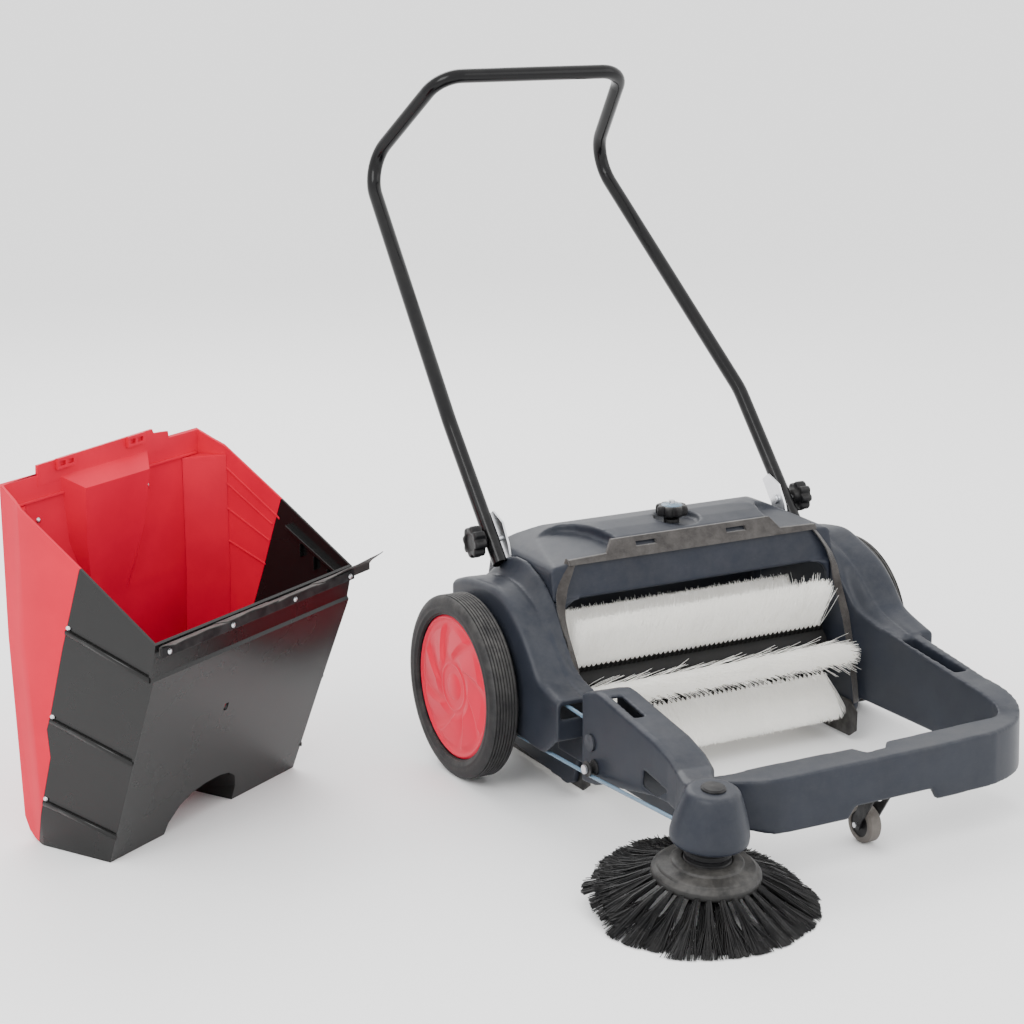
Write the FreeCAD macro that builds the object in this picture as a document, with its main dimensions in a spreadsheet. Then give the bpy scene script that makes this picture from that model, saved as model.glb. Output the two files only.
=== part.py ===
import FreeCAD, Part
import math
import os

import Sketcher

# Walk-behind push sweeper with its debris hopper lifted out and stood beside it.
# Millimetres, +Z up. The machine's own axes: X across the machine, Y fore and aft with the
# working front at -Y, the wheel axle above y = 0, and the floor at z = 0.

App = FreeCAD
doc = App.newDocument("push_sweeper")

# ---------------------------------------------------------------- driving dimensions
DIMENSIONS = {
    # where the machine and the hopper stand in the part's frame
    "machine_x": 342.5, "machine_y": 87.0,
    "hopper_x": -748.0, "hopper_y": -58.0, "hopper_turn": 30.7,
    # wheels and stub axles
    "wheel_radius": 149.0, "wheel_outer_x": 405.0, "wheel_width": 50.0, "disc_radius": 117.0,
    "axle_radius": 10.0, "running_gap": 0.05,
    # moulded chassis
    "bay_half": 272.0, "member_outer": 321.0, "left_member_outer": 292.0,
    "bar_front": -606.0, "bar_rear": -558.0, "bar_top": 158.0, "bar_bottom": 74.0,
    "chamber_half": 262.0, "plate_outer": 272.0, "fender_outer": 349.0, "wall": 4.0,
    # cover, seal and adjuster
    "cover_half": 271.5, "plateau_half": 200.0, "plateau_z": 388.0, "shoulder_z": 345.0,
    # main brush and its drive
    "brush_y": -88.0, "brush_z": 143.0, "brush_radius": 138.0, "brush_half": 245.0,
    "core_radius": 46.0, "shaft_radius": 8.0, "wheel_teeth": 28, "brush_teeth": 16,
    "gear_module": 4.0, "gear_width": 18.0, "brush_pulley_radius": 52.0,
    # side brush, tilted forward about its own centre
    "pod_x": -331.6, "pod_y": -627.0, "pod_tilt": 6.0, "side_brush_radius": 163.0,
    "ring_radius": 76.0, "side_pulley_radius": 36.0, "belt_radius": 3.0, "belt_x": -338.0,
    # handle
    "handle_x": 291.0, "handle_radius": 12.5, "handle_wall": 1.8,
    "pivot_y": 66.0, "pivot_z": 364.0,
    # caster
    "caster_x": 12.0, "caster_y": -543.0, "caster_radius": 29.0, "caster_swivel_y": -574.0,
    # hopper, in its own axes: across, from the lip towards the back, and up
    "hopper_half": 241.0, "hopper_foot_half": 226.0, "hopper_depth": 292.0,
    "hopper_lip_z": 354.0, "hopper_back_z": 550.0, "hopper_wall": 3.5,
}

sheet = doc.addObject("Spreadsheet::Sheet", "sizes")
for row, (alias, amount) in enumerate(DIMENSIONS.items(), start=1):
    sheet.set(f"A{row}", alias.replace("_", " "))
    sheet.set(f"B{row}", str(amount))
    sheet.setAlias(f"B{row}", alias)
doc.recompute()


class Size:
    """A length that knows both its spreadsheet formula and its value."""

    def __init__(self, formula, amount):
        self.formula = formula
        self.amount = float(amount)

    def _join(self, sign, other, result):
        other_formula = other.formula if isinstance(other, Size) else repr(float(other))
        return Size(f"({self.formula} {sign} {other_formula})", result)

    def __add__(self, other):
        return self._join("+", other, self.amount + float(other))

    def __radd__(self, other):
        return self + other

    def __sub__(self, other):
        return self._join("-", other, self.amount - float(other))

    def __rsub__(self, other):
        return -self + other

    def __mul__(self, other):
        return self._join("*", other, self.amount * float(other))

    def __rmul__(self, other):
        return self * other

    def __truediv__(self, other):
        return self._join("/", other, self.amount / float(other))

    def __neg__(self):
        return Size(f"(-1.0 * {self.formula})", -self.amount)

    def __float__(self):
        return self.amount


class Sizes:
    """Reads a named cell of the sheet: S.wheel_radius is that cell."""

    def __getattr__(self, alias):
        return Size(f"sizes.{alias}", sheet.get(alias))


S = Sizes()
LEFT, RIGHT = -1, 1
SIDES = {"left": LEFT, "right": RIGHT}
X_AXIS, Y_AXIS, Z_AXIS = App.Vector(1, 0, 0), App.Vector(0, 1, 0), App.Vector(0, 0, 1)
PLANE_NORMALS = {"XY_Plane": Z_AXIS, "XZ_Plane": -Y_AXIS, "YZ_Plane": X_AXIS}
parts = []


def as_size(amount):
    return amount if isinstance(amount, Size) else Size(repr(float(amount)), amount)


def bind(thing, path, amount):
    """Ties a property of a document object to its spreadsheet formula."""
    thing.setExpression(path, as_size(amount).formula)


def place(thing, base=(0, 0, 0), rotation=None):
    """Puts an object at a point given in formulas, turned by a fixed rotation."""
    where = [as_size(coordinate) for coordinate in base]
    turn = rotation or App.Rotation()
    thing.Placement = App.Placement(App.Vector(*[w.amount for w in where]), turn)
    for letter, coordinate in zip("xyz", where):
        bind(thing, f"Placement.Base.{letter}", coordinate)


# ---------------------------------------------------------------- building blocks
def origin_plane(body, role):
    return next(f for f in body.Origin.OriginFeatures if f.Role == role)


def draw_outline(body, plane, points, name="outline"):
    """A closed sketch of straight lines; every corner is held by two bound dimensions."""
    sketch = body.newObject("Sketcher::SketchObject", f"{body.Name}_{name}")
    sketch.AttachmentSupport = [(origin_plane(body, plane), "")]
    sketch.MapMode = "FlatFace"
    corners = [App.Vector(float(u), float(v), 0) for u, v in points]
    count = len(corners)
    for index, corner in enumerate(corners):
        line = Part.LineSegment(corner, corners[(index + 1) % count])
        sketch.addGeometry(line, False)
    for index in range(count):
        following = (index + 1) % count
        sketch.addConstraint(Sketcher.Constraint("Coincident", index, 2, following, 1))
    for index, (u, v) in enumerate(points):
        for kind, amount in (("DistanceX", u), ("DistanceY", v)):
            rule = Sketcher.Constraint(kind, -1, 1, index, 1, float(amount))
            number = sketch.addConstraint(rule)
            bind(sketch, f"Constraints[{number}]", amount)
    return sketch


def new_body(name):
    return doc.addObject("PartDesign::Body", name)


def pad(name, plane, points, start, depth, body=None):
    """A prism: the outline on a plane, pushed from start along the plane's normal."""
    body = body or new_body(name)
    feature = body.newObject("PartDesign::Pad", f"{name}_pad")
    feature.Profile = draw_outline(body, plane, points)
    bind(feature, "Length", depth)
    offset = [as_size(start) * component for component in PLANE_NORMALS[plane]]
    place(body, offset)
    return body


def revolved(name, points, around="V_Axis"):
    """A turned solid: a half outline of (radius, height) pairs spun about the Z axis."""
    body = new_body(name)
    feature = body.newObject("PartDesign::Revolution", f"{name}_turn")
    sketch = draw_outline(body, "XZ_Plane", points)
    feature.Profile = sketch
    feature.ReferenceAxis = (sketch, [around])
    feature.Angle = 360.0
    return body


def turn_z_to(direction):
    return App.Rotation(Z_AXIS, App.Vector(*direction))


def cylinder(name, radius, height, base=(0, 0, 0), direction=(0, 0, 1)):
    rod = doc.addObject("Part::Cylinder", name)
    bind(rod, "Radius", radius)
    bind(rod, "Height", height)
    place(rod, base, turn_z_to(direction))
    return rod


def block(name, low, high):
    """A box between two opposite corners."""
    box = doc.addObject("Part::Box", name)
    for path, a, b in zip(("Length", "Width", "Height"), low, high):
        bind(box, path, as_size(b) - a)
    place(box, low)
    return box


def fuse(name, shapes):
    joined = doc.addObject("Part::MultiFuse", name)
    joined.Shapes = shapes
    joined.Refine = True
    return joined


def cut(name, base, tools):
    """Takes one tool, or several joined tools, away from a base."""
    result = doc.addObject("Part::Cut", name)
    result.Base = base
    result.Tool = tools[0] if len(tools) == 1 else fuse(f"{name}_tools", tools)
    return result


def common(name, first, second):
    shared = doc.addObject("Part::Common", name)
    shared.Base = first
    shared.Tool = second
    return shared


def feature(name, shape):
    """A free shape made with Part's own functions."""
    thing = doc.addObject("Part::Feature", name)
    thing.Shape = shape
    return thing


def compound(name, shapes):
    """Identical pieces that stay separate solids in one node."""
    group = doc.addObject("Part::Compound", name)
    group.Links = shapes
    return group


def finish(thing, label, base=None, rotation=None):
    """Names a finished sub-part and moves it from the machine's axes to the part's frame."""
    holder = thing
    if thing.TypeId in ("PartDesign::Body", "Part::Cylinder", "Part::Box"):
        holder = compound(f"{label}_placed", [thing])
    place(holder, base or (S.machine_x, S.machine_y, 0), rotation)
    holder.Label = label
    parts.append(holder)
    return holder


def rounded_path(points, radii):
    """A wire of straight runs joined by tangent arcs at its inner points."""
    corners = [App.Vector(*p) for p in points]
    edges = []
    start = corners[0]
    for index, radius in enumerate(radii, start=1):
        here = corners[index]
        back = (corners[index - 1] - here).normalize()
        ahead = (corners[index + 1] - here).normalize()
        half = back.getAngle(ahead) / 2
        reach = radius / math.tan(half)
        middle_way = (back + ahead).normalize()
        centre = here + middle_way * (radius / math.sin(half))
        first = here + back * reach
        last = here + ahead * reach
        edges.append(Part.LineSegment(start, first).toShape())
        edges.append(Part.Arc(first, centre - middle_way * radius, last).toShape())
        start = last
    edges.append(Part.LineSegment(start, corners[-1]).toShape())
    return Part.Wire(edges)


def sweep_round(path, radius):
    """A round bar of the given radius along a wire."""
    first = path.Edges[0]
    start = first.valueAt(first.FirstParameter)
    tangent = first.tangentAt(first.FirstParameter)
    ring = Part.Wire([Part.Circle(start, tangent, radius).toShape()])
    return path.makePipeShell([ring], True, False)


# ---------------------------------------------------------------- chassis moulding
def fender_outline(side, inset=0):
    """Side view of a wheel fender: a crest over the axle that falls to the side member."""
    crest = [(90, 96), (75, 305 - inset), (0, 324 - inset), (-45, 325 - inset)]
    if side == RIGHT:
        return crest + [(-90, 314 - inset), (-130, 298 - inset), (-170, 268 - inset),
                        (-202, 233 - inset), (-278 + inset, 206 - inset),
                        (-278 + inset, 128), (-205, 92)]
    return crest + [(-90, 302 - inset), (-130, 274 - inset), (-165, 236 - inset),
                    (-190, 206 - inset), (-249 + inset, 190 - inset),
                    (-249 + inset, 128), (-205, 92)]


def fender(side_name, side):
    inner = S.plate_outer if side == RIGHT else -S.fender_outer
    width = S.fender_outer - S.plate_outer
    solid = pad(f"fender_{side_name}_solid", "YZ_Plane", fender_outline(side), inner, width)
    hollow_points = fender_outline(side, float(S.wall))
    front = hollow_points[-2][0]
    hollow_points[0] = (100, 60)
    hollow_points[1] = (100, 298)
    hollow_points[-2] = (front, 60)
    hollow_points[-1] = (-200, 60)
    pocket_start = S.plate_outer - 1 if side == RIGHT else -S.fender_outer + S.wall
    hollow = pad(f"fender_{side_name}_hollow", "YZ_Plane", hollow_points, pocket_start,
                 width - S.wall + 1)
    hub_hole = cylinder(f"fender_{side_name}_hub_hole", 74, 2 * S.wall + 10,
                        (side * (S.fender_outer - 12), 0, S.wheel_radius), (side, 0, 0))
    tools = [hollow, hub_hole]
    if side == LEFT:
        # the side brush belt leaves through the front wall
        tools.append(block("fender_belt_slot", (-340, -254, 160), (-304, -238, 196)))
    return cut(f"fender_{side_name}", solid, tools)


def member_stub(side_name, side):
    """The rear end of a side member, moulded in one with the fender beside it."""
    if side == RIGHT:
        stub = pad("stub_right", "YZ_Plane", [(-150, 74), (-150, 212), (-278, 205), (-278, 74)],
                   S.bay_half, S.member_outer - S.bay_half)
        hollow = pad("stub_hollow", "YZ_Plane", [(-154, 60), (-154, 207), (-280, 200), (-280, 60)],
                     S.bay_half + S.wall, S.member_outer - S.bay_half - 2 * S.wall)
        return cut("stub_right_shell", stub, [hollow])
    return pad("stub_left", "YZ_Plane", [(-150, 74), (-150, 204), (-249, 189), (-249, 74)],
               -S.left_member_outer, S.left_member_outer - S.bay_half)


def chamber_plate(side_name, side):
    """Side wall of the brush chamber; it carries the stub axle and the brush bearing."""
    points = [(96, 30), (96, 296), (-104, 296), (-116, 280), (-150, 213), (-164, 164),
              (-181, 95), (-186, 67), (-170, 20), (-150, 12)]
    start = S.chamber_half if side == RIGHT else -S.plate_outer
    plate = pad(f"plate_{side_name}_blank", "YZ_Plane", points, start,
                S.plate_outer - S.chamber_half)
    through = S.plate_outer - S.chamber_half + 4
    bearing_hole = cylinder(f"plate_{side_name}_bearing_hole", 16, through,
                            (side * (S.chamber_half - 2), S.brush_y, S.brush_z), (side, 0, 0))
    axle_hole = cylinder(f"plate_{side_name}_axle_hole", S.axle_radius, through,
                         (side * (S.chamber_half - 2), 0, S.wheel_radius), (side, 0, 0))
    return cut(f"plate_{side_name}", plate, [bearing_hole, axle_hole])


def front_frame():
    """U-shaped rail: two side members joined by the front bar, sloping down to the front."""
    left_start, right_start = -250, -278.3
    plan = [(-S.left_member_outer, left_start), (-S.left_member_outer, -500),
            (-270, -556), (-225, -598), (-185, S.bar_front), (200, S.bar_front),
            (243, -594), (S.member_outer - 24, -548), (S.member_outer, -490),
            (S.member_outer, right_start), (S.bay_half, right_start),
            (S.bay_half, S.bar_rear + 36), (S.bay_half - 36, S.bar_rear),
            (36 - S.bay_half, S.bar_rear), (-S.bay_half, S.bar_rear + 36),
            (-S.bay_half, left_start)]
    rail = pad("rail_plan", "XY_Plane", plan, S.bar_bottom, 205 - S.bar_bottom)
    slope = [(-700, S.bar_top), (-545, S.bar_top), (-278, 204.5), (-200, 204.5), (-200, 300),
             (-700, 300)]
    above = pad("rail_slope", "YZ_Plane", slope, -400, 800)
    left_slope = [(-700, 152), (-500, 152), (-250, 188), (-200, 188), (-200, 300), (-700, 300)]
    above_left = pad("rail_left_slope", "YZ_Plane", left_slope, -400, 400 - 250)
    arch = [(-72, 50), (-72, S.bar_bottom), (-56, 94), (80, 94), (96, S.bar_bottom), (96, 50)]
    arch_cut = pad("rail_arch", "XZ_Plane", arch, 500, 200)
    # the corner over the side brush sits a little higher
    corner_lift = block("rail_corner_lift", (-330, -640, 60), (-235, -500, 84))
    slot_right = block("rail_slot", (278, -404, 100), (300, -284, 260))
    # both the bar and the right member are open shells from below
    member_hollow = pad("rail_member_hollow", "YZ_Plane", [
        (-535, 60), (-535, 150), (-287, 199), (-270, 199), (-270, 60)],
        S.bay_half + S.wall, S.member_outer - S.bay_half - 2 * S.wall)
    bar_hollow = block("rail_bar_hollow", (-185, S.bar_front + S.wall, 60),
                       (200, S.bar_rear - S.wall, S.bar_top - S.wall))
    pin_hole = cylinder("rail_pin_hole", 9, 40, (-300, -317, 144), (1, 0, 0))
    finish(cut("front_frame_cut", rail, [above, above_left, arch_cut, corner_lift, slot_right,
                                         member_hollow, bar_hollow, pin_hole]), "front_frame")


def base_frame():
    """Brush chamber with its wheel fenders and the rear ends of the side members."""
    pieces = []
    for side_name, side in SIDES.items():
        pieces.append(fender(side_name, side))
        pieces.append(chamber_plate(side_name, side))
        pieces.append(member_stub(side_name, side))
    back = block("rear_cross_wall", (-S.chamber_half - 1, 84, 60), (S.chamber_half + 1, 96, 200))
    finish(fuse("base_frame_fused", pieces + [back]), "base_frame")


# ---------------------------------------------------------------- brush cover and seal
def cover_outline(inset):
    """Side view of the brush cover, from the opening's top edge over to the back wall."""
    return [(-104 + inset, 297), (-93 + inset, 352), (-74 + inset, 380 - inset),
            (0, S.plateau_z - inset), (58, 380 - inset), (104 - inset, 340 - inset),
            (126 - inset, 240), (128 - inset, 200.5), (100, 200.5), (100, 297)]


def cover_fall(name, side, drop):
    """Space above the slope where the plateau falls to a shoulder beside the fender."""
    outer = side * (S.cover_half + 1)
    corner = [(side * (S.plateau_half - drop / 2), S.plateau_z + 1 - drop),
              (outer, S.shoulder_z - drop), (outer, 420),
              (side * (S.plateau_half - drop / 2), 420)]
    return pad(name, "XZ_Plane", corner, -200, 400)


def top_cover():
    wall = float(S.wall)
    outer = pad("cover_outer", "YZ_Plane", cover_outline(0), -S.cover_half, 2 * S.cover_half)
    hollow_points = [(-122, 250), (-98, 297 - 2 * wall), (-88, 346), (-70, 374),
                     (0, S.plateau_z - wall), (56, 376), (99.5, 337), (121.5, 240), (123.5, 150)]
    hollow = pad("cover_hollow", "YZ_Plane", hollow_points, -S.cover_half + wall,
                 2 * (S.cover_half - wall))
    shell = cut("cover_shell", outer,
                [cover_fall(f"cover_fall_{name}", side, 0) for name, side in SIDES.items()])
    trimmed = cut("cover_hollow_trimmed", hollow,
                  [cover_fall(f"cover_inner_{name}", side, 5) for name, side in SIDES.items()])
    spindle_hole = cylinder("cover_spindle_hole", 7, 60, (0, -20, 350))
    finish(cut("top_cover_cut", shell, [trimmed, spindle_hole]), "top_cover")


def hopper_seal():
    """Foam-faced frame round the hopper mouth: a stepped top strip and two curved legs."""
    lying = pad("seal_lying", "YZ_Plane", [(-93.2, 352), (-99, 352), (-81, 380), (-74.2, 380)],
                -250, 500)
    step = pad("seal_step", "XZ_Plane", [(-250, 350), (-250, 361), (-168, 362), (-152, 381),
                                         (152, 381), (168, 362), (250, 361), (250, 350)], 60, 60)
    slots = [block(f"seal_slot_{n}", (x - 21, -110, 366), (x + 21, -60, 372))
             for n, x in (("left", -92), ("right", 82))]
    pieces = [cut("seal_top", common("seal_top_shape", lying, step), slots)]
    leg = [(-93.3, 352), (-101, 322), (-106, 297), (-110, 285), (-141, 220), (-157, 168),
           (-174, 100), (-184, 100), (-166, 170), (-150, 222), (-124, 270), (-118, 289),
           (-112, 320), (-99, 352)]
    for side_name, side in SIDES.items():
        start = 248 if side == RIGHT else -261.5
        pieces.append(pad(f"seal_leg_{side_name}", "YZ_Plane", leg, start, 13.5))
    finish(fuse("hopper_seal_fused", pieces), "hopper_seal")


# ---------------------------------------------------------------- star knobs
def star_knob(name, base, direction, radius, height, bore):
    """Eight-lobed clamping knob with a hub, bored for its screw."""
    lobes = 8
    pieces = [cylinder(f"{name}_core", radius * 0.84, height)]
    for index in range(lobes):
        angle = 2 * math.pi * index / lobes
        centre = (0.82 * radius * math.cos(angle), 0.82 * radius * math.sin(angle), 0)
        pieces.append(cylinder(f"{name}_lobe_{index}", radius * 0.2, height, centre))
    pieces.append(cylinder(f"{name}_hub", radius * 0.5, 8, (0, 0, -7)))
    knob = cut(f"{name}_bored", fuse(f"{name}_solid", pieces),
               [cylinder(f"{name}_bore", bore, height + 8, (0, 0, -8))])
    place(knob, base, turn_z_to(direction))
    return compound(f"{name}_group", [knob])


def height_adjuster():
    """Knob on the cover, its clear cap, the spindle it turns and the threaded crossbar."""
    finish(star_knob("height_star", (0, -20, 397), (0, 0, 1), 25, 17, 5), "height_knob")
    cap = revolved("height_cap", [(0, 0), (19, 0), (17, 3), (0, 4.5)])
    place(cap, (0, -20, 414.2))
    finish(cap, "height_knob_cap")
    finish(cylinder("height_screw", 4.95, 117, (0, -20, 296.5)), "height_spindle")
    bar = fuse("height_bar_fused", [block("height_bar", (-232, -32, 306), (232, -8, 316)),
                                    cylinder("height_boss", 13, 20, (0, -20, 301))])
    bored = cut("height_bar_bored", bar, [cylinder("height_bar_bore", 5.0, 40, (0, -20, 290))])
    finish(bored, "height_crossbar")


# ---------------------------------------------------------------- wheels
def gear_outline(teeth, module, phase):
    """Trapezoid teeth that taper from root to tip, thinned for free running."""
    pitch_radius = teeth * module / 2
    levels = ((-1.15, 0.62), (0.0, 0.40), (0.8, 0.24))
    points = []
    for tooth in range(teeth):
        middle = phase + 2 * math.pi * tooth / teeth
        flank = [(pitch_radius + level * module, share * math.pi / teeth)
                 for level, share in levels]
        points += [(r, middle - half) for r, half in flank]
        points += [(r, middle + half) for r, half in reversed(flank)]
    return [(r * math.cos(a), r * math.sin(a)) for r, a in points]


def gear(name, teeth, phase, bore, x_low, x_high, centre):
    """A spur gear lying across the machine, with a plain bore."""
    y, z = float(centre[0]), float(centre[1])
    points = [App.Vector(x_low, y + dy, z + dz)
              for dy, dz in gear_outline(teeth, float(S.gear_module), phase)]
    width = x_high - x_low
    blank = Part.Face(Part.makePolygon(points + points[:1])).extrude(App.Vector(width, 0, 0))
    hole = Part.makeCylinder(bore, width + 2, App.Vector(x_low - 1, y, z), X_AXIS)
    return feature(name, blank.cut(hole))


def wheel(side_name, side):
    """Tyre, rim with a long hub, and the coloured cover disc."""
    radius = S.wheel_radius
    width = S.wheel_width
    # heights run outwards from the wheel's inner face
    tyre = revolved(f"tyre_{side_name}_body", [
        (120, 2), (134, 0), (radius - 4, 3), (radius, 8), (radius, width - 8),
        (radius - 4, width - 2), (134, width), (120, width - 3)])
    hub_in = -78 if side == LEFT else -40
    bore = S.axle_radius + S.running_gap
    rim = revolved(f"rim_{side_name}_body", [
        (bore, hub_in), (20, hub_in), (20, 12), (96, 12), (110, 6), (120, 6), (120, width - 6),
        (117.5, width - 6), (117.5, width - 12), (112, width - 14), (106, 20), (24, 20),
        (24, width - 16), (bore, width - 16)])
    disc_z = width - 12
    disc = revolved(f"disc_{side_name}_body", [
        (0, disc_z + 3), (S.disc_radius, disc_z + 3), (S.disc_radius, disc_z + 8),
        (112, disc_z + 10), (70, disc_z + 6), (36, disc_z + 7), (32, disc_z + 11),
        (0, disc_z + 12)])
    inner_face = side * (S.wheel_outer_x - width)
    for body, label in ((tyre, "tyre"), (rim, "wheel_rim"), (disc, "wheel_disc")):
        place(body, (inner_face, 0, radius), turn_z_to((side, 0, 0)))
        finish(body, f"{label}_{side_name}")
    axle_start = side * (S.chamber_half - 6)
    axle = fuse(f"axle_{side_name}_fused", [
        cylinder(f"axle_{side_name}_rod", S.axle_radius, 132, (axle_start, 0, radius),
                 (side, 0, 0)),
        cylinder(f"axle_{side_name}_head", 17, 6, (axle_start, 0, radius), (side, 0, 0))])
    finish(axle, f"axle_{side_name}")


# ---------------------------------------------------------------- main brush
def main_brush():
    at = (-S.brush_half, S.brush_y, S.brush_z)
    length = 2 * S.brush_half
    finish(cut("brush_core_cut", cylinder("brush_core_rod", S.core_radius, length, at, (1, 0, 0)),
               [cylinder("brush_core_bore", S.shaft_radius, 600, (-300, S.brush_y, S.brush_z),
                         (1, 0, 0))]), "brush_core")
    rows = []
    row_count = 6
    for index in range(row_count):
        row = block(f"bristle_row_{index}", (-S.brush_half, -13, S.core_radius + 0.2),
                    (S.brush_half, 13, S.brush_radius - 2))
        group = compound(f"bristle_row_{index}_turned", [row])
        place(group, (0, S.brush_y, S.brush_z), App.Rotation(X_AXIS, 20 + 360 / row_count * index))
        rows.append(group)
    finish(compound("bristle_rows_group", rows), "brush_bristles")
    shaft = cylinder("brush_shaft_rod", S.shaft_radius, 616, (-344, S.brush_y, S.brush_z),
                     (1, 0, 0))
    finish(shaft, "brush_shaft")
    for side_name, side in SIDES.items():
        start = (side * (S.chamber_half - 3), S.brush_y, S.brush_z)
        bush = cut(f"bush_{side_name}_cut",
                   fuse(f"bush_{side_name}_solid", [
                       cylinder(f"bush_{side_name}_barrel", 16, 14, start, (side, 0, 0)),
                       cylinder(f"bush_{side_name}_flange", 22, 2.8, start, (side, 0, 0))]),
                   [cylinder(f"bush_{side_name}_bore", S.shaft_radius + S.running_gap, 20,
                             (side * (S.chamber_half - 5), S.brush_y, S.brush_z),
                             (side, 0, 0))])
        finish(bush, f"brush_bearing_{side_name}")


def brush_drive():
    """Spur gears from the left wheel to the brush shaft, and the side brush belt's pulley."""
    axle = (0, S.wheel_radius)
    brush = (S.brush_y, S.brush_z)
    line = math.atan2(float(S.brush_z - S.wheel_radius), float(S.brush_y))
    tooth_angle = 2 * math.pi / float(S.brush_teeth)
    x_low = -297.0
    x_high = x_low + float(S.gear_width)
    finish(gear("wheel_gear_shape", int(float(S.wheel_teeth)), line, 20.0, x_low, x_high, axle),
           "wheel_gear")
    finish(gear("brush_gear_shape", int(float(S.brush_teeth)), line + math.pi + tooth_angle / 2,
                float(S.shaft_radius), x_low, x_high, brush), "brush_gear")
    rim = S.brush_pulley_radius
    pulley = revolved("brush_pulley_body", [
        (S.shaft_radius, -6), (rim + 4, -6), (rim + 4, -5.4), (rim - 3.6, -4.2), (rim - 3.6, 4.2),
        (rim + 4, 5.4), (rim + 4, 6), (S.shaft_radius, 6)])
    place(pulley, (S.belt_x, S.brush_y, S.brush_z), turn_z_to((1, 0, 0)))
    finish(pulley, "belt_pulley")


# ---------------------------------------------------------------- side brush and its arm
def tilt():
    return App.Rotation(X_AXIS, float(S.pod_tilt))


def at_pod(height):
    """A point on the tilted side brush axis, this far above its foot on the floor."""
    lean = math.radians(float(S.pod_tilt))
    return (S.pod_x, S.pod_y - height * math.sin(lean), height * math.cos(lean))


def on_pod(body, height=0):
    place(body, at_pod(height), tilt())
    return body


def side_arm():
    """Arm moulding beside the left member; its nose is the bell that holds the side brush."""
    profile = [(-290, 74), (-290, 214), (-330, 228), (-410, 212), (-487, 200), (-560, 180),
               (-612, 176), (-612, 112), (-520, 84)]
    body = pad("arm_profile", "YZ_Plane", profile, -330, 330 - 264)
    # its inner wall stops short of the front bar's corner
    inner_corner = block("arm_inner_corner", (-326, -640, 60), (-250, -512, 163))
    body = cut("arm_body", body, [inner_corner])
    hollow = pad("arm_hollow", "YZ_Plane", [
        (-280, 60), (-280, 207), (-330, 222), (-410, 207), (-487, 195), (-560, 175),
        (-606, 171), (-606, 60)], -326, 326 - 268)
    window = block("arm_window", (-340, -510, 128), (-320, -462, 146))
    belt_door = block("arm_belt_door", (-395, -640, 120), (-352, -575, 142))
    slot = block("arm_slot", (-318, -420, 190), (-302, -352, 260))
    idler_hole = cylinder("arm_idler_hole", 4, 20, (-340, -330, 109.2), (1, 0, 0))
    bell = on_pod(revolved("bell_outer", [(0, 100), (60, 100), (61, 112), (52, 150), (38, 176),
                                          (32, 183), (0, 184)]))
    bell_hollow = on_pod(revolved("bell_hollow", [(0, 99), (56, 99), (57, 112), (48, 148),
                                                  (0, 164)]))
    spindle_hole = on_pod(cylinder("bell_spindle_hole", 12.5, 60), 130)
    place(spindle_hole, at_pod(150), tilt())
    arm = cut("arm_shell", fuse("arm_solid", [body, bell]),
              [hollow, window, belt_door, slot, idler_hole, bell_hollow, spindle_hole])
    pivot_hole = cylinder("arm_pivot_hole", 9.05, 100, (-352, -317, 144), (1, 0, 0))
    finish(cut("arm_bored", arm, [pivot_hole]), "side_arm")
    pin = fuse("arm_pin_fused", [
        cylinder("arm_pin_rod", 9, 71.5, (-333.5, -317, 144), (1, 0, 0)),
        cylinder("arm_pin_head", 13, 3, (-333.5, -317, 144), (1, 0, 0))])
    finish(pin, "arm_pivot_pin")
    button = revolved("pod_cap_body", [(0, 184.3), (17.5, 184.3), (17.5, 186), (15, 188), (0, 189)])
    finish(on_pod(button), "pod_cap")


def side_brush():
    bush = cut("spindle_bush_cut", revolved("spindle_bush_body", [
        (0, 150), (12.4, 150), (12.4, 163), (0, 163)]),
        [cylinder("spindle_bush_bore", 7.05, 30, (0, 0, 140))])
    place(bush, at_pod(0), tilt())
    finish(compound("spindle_bush_group", [bush]), "spindle_bush")
    finish(on_pod(cylinder("spindle_rod", 7, 118), 62), "side_spindle")
    rim = S.side_pulley_radius
    pulley = revolved("side_pulley_body", [
        (7, 125), (rim + 2, 125), (rim + 2, 126.5), (rim - 3.6, 127.5), (rim - 3.6, 140.5),
        (rim + 2, 141.5), (rim + 2, 143), (7, 143)])
    finish(on_pod(pulley), "side_pulley")
    neck = revolved("brush_neck_body", [(7, 70), (34, 70), (34, 96), (30, 98.5), (7, 98.5)])
    finish(on_pod(neck), "side_brush_hub")
    ring = revolved("clamp_ring_body", [
        (34.2, 64), (60, 60), (S.ring_radius, 52), (S.ring_radius, 62), (70, 70), (48, 76),
        (34.2, 78)])
    finish(on_pod(ring), "side_brush_ring")
    skirt = S.side_brush_radius
    bristles = revolved("side_bristle_body", [
        (34.2, 63.8), (60, 59.8), (S.ring_radius - 2, 51.8), (skirt, 21), (skirt - 3, 19.5),
        (skirt - 12, 19.5), (58, 42), (34.2, 50)])
    finish(on_pod(bristles), "side_brush_bristles")


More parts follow.
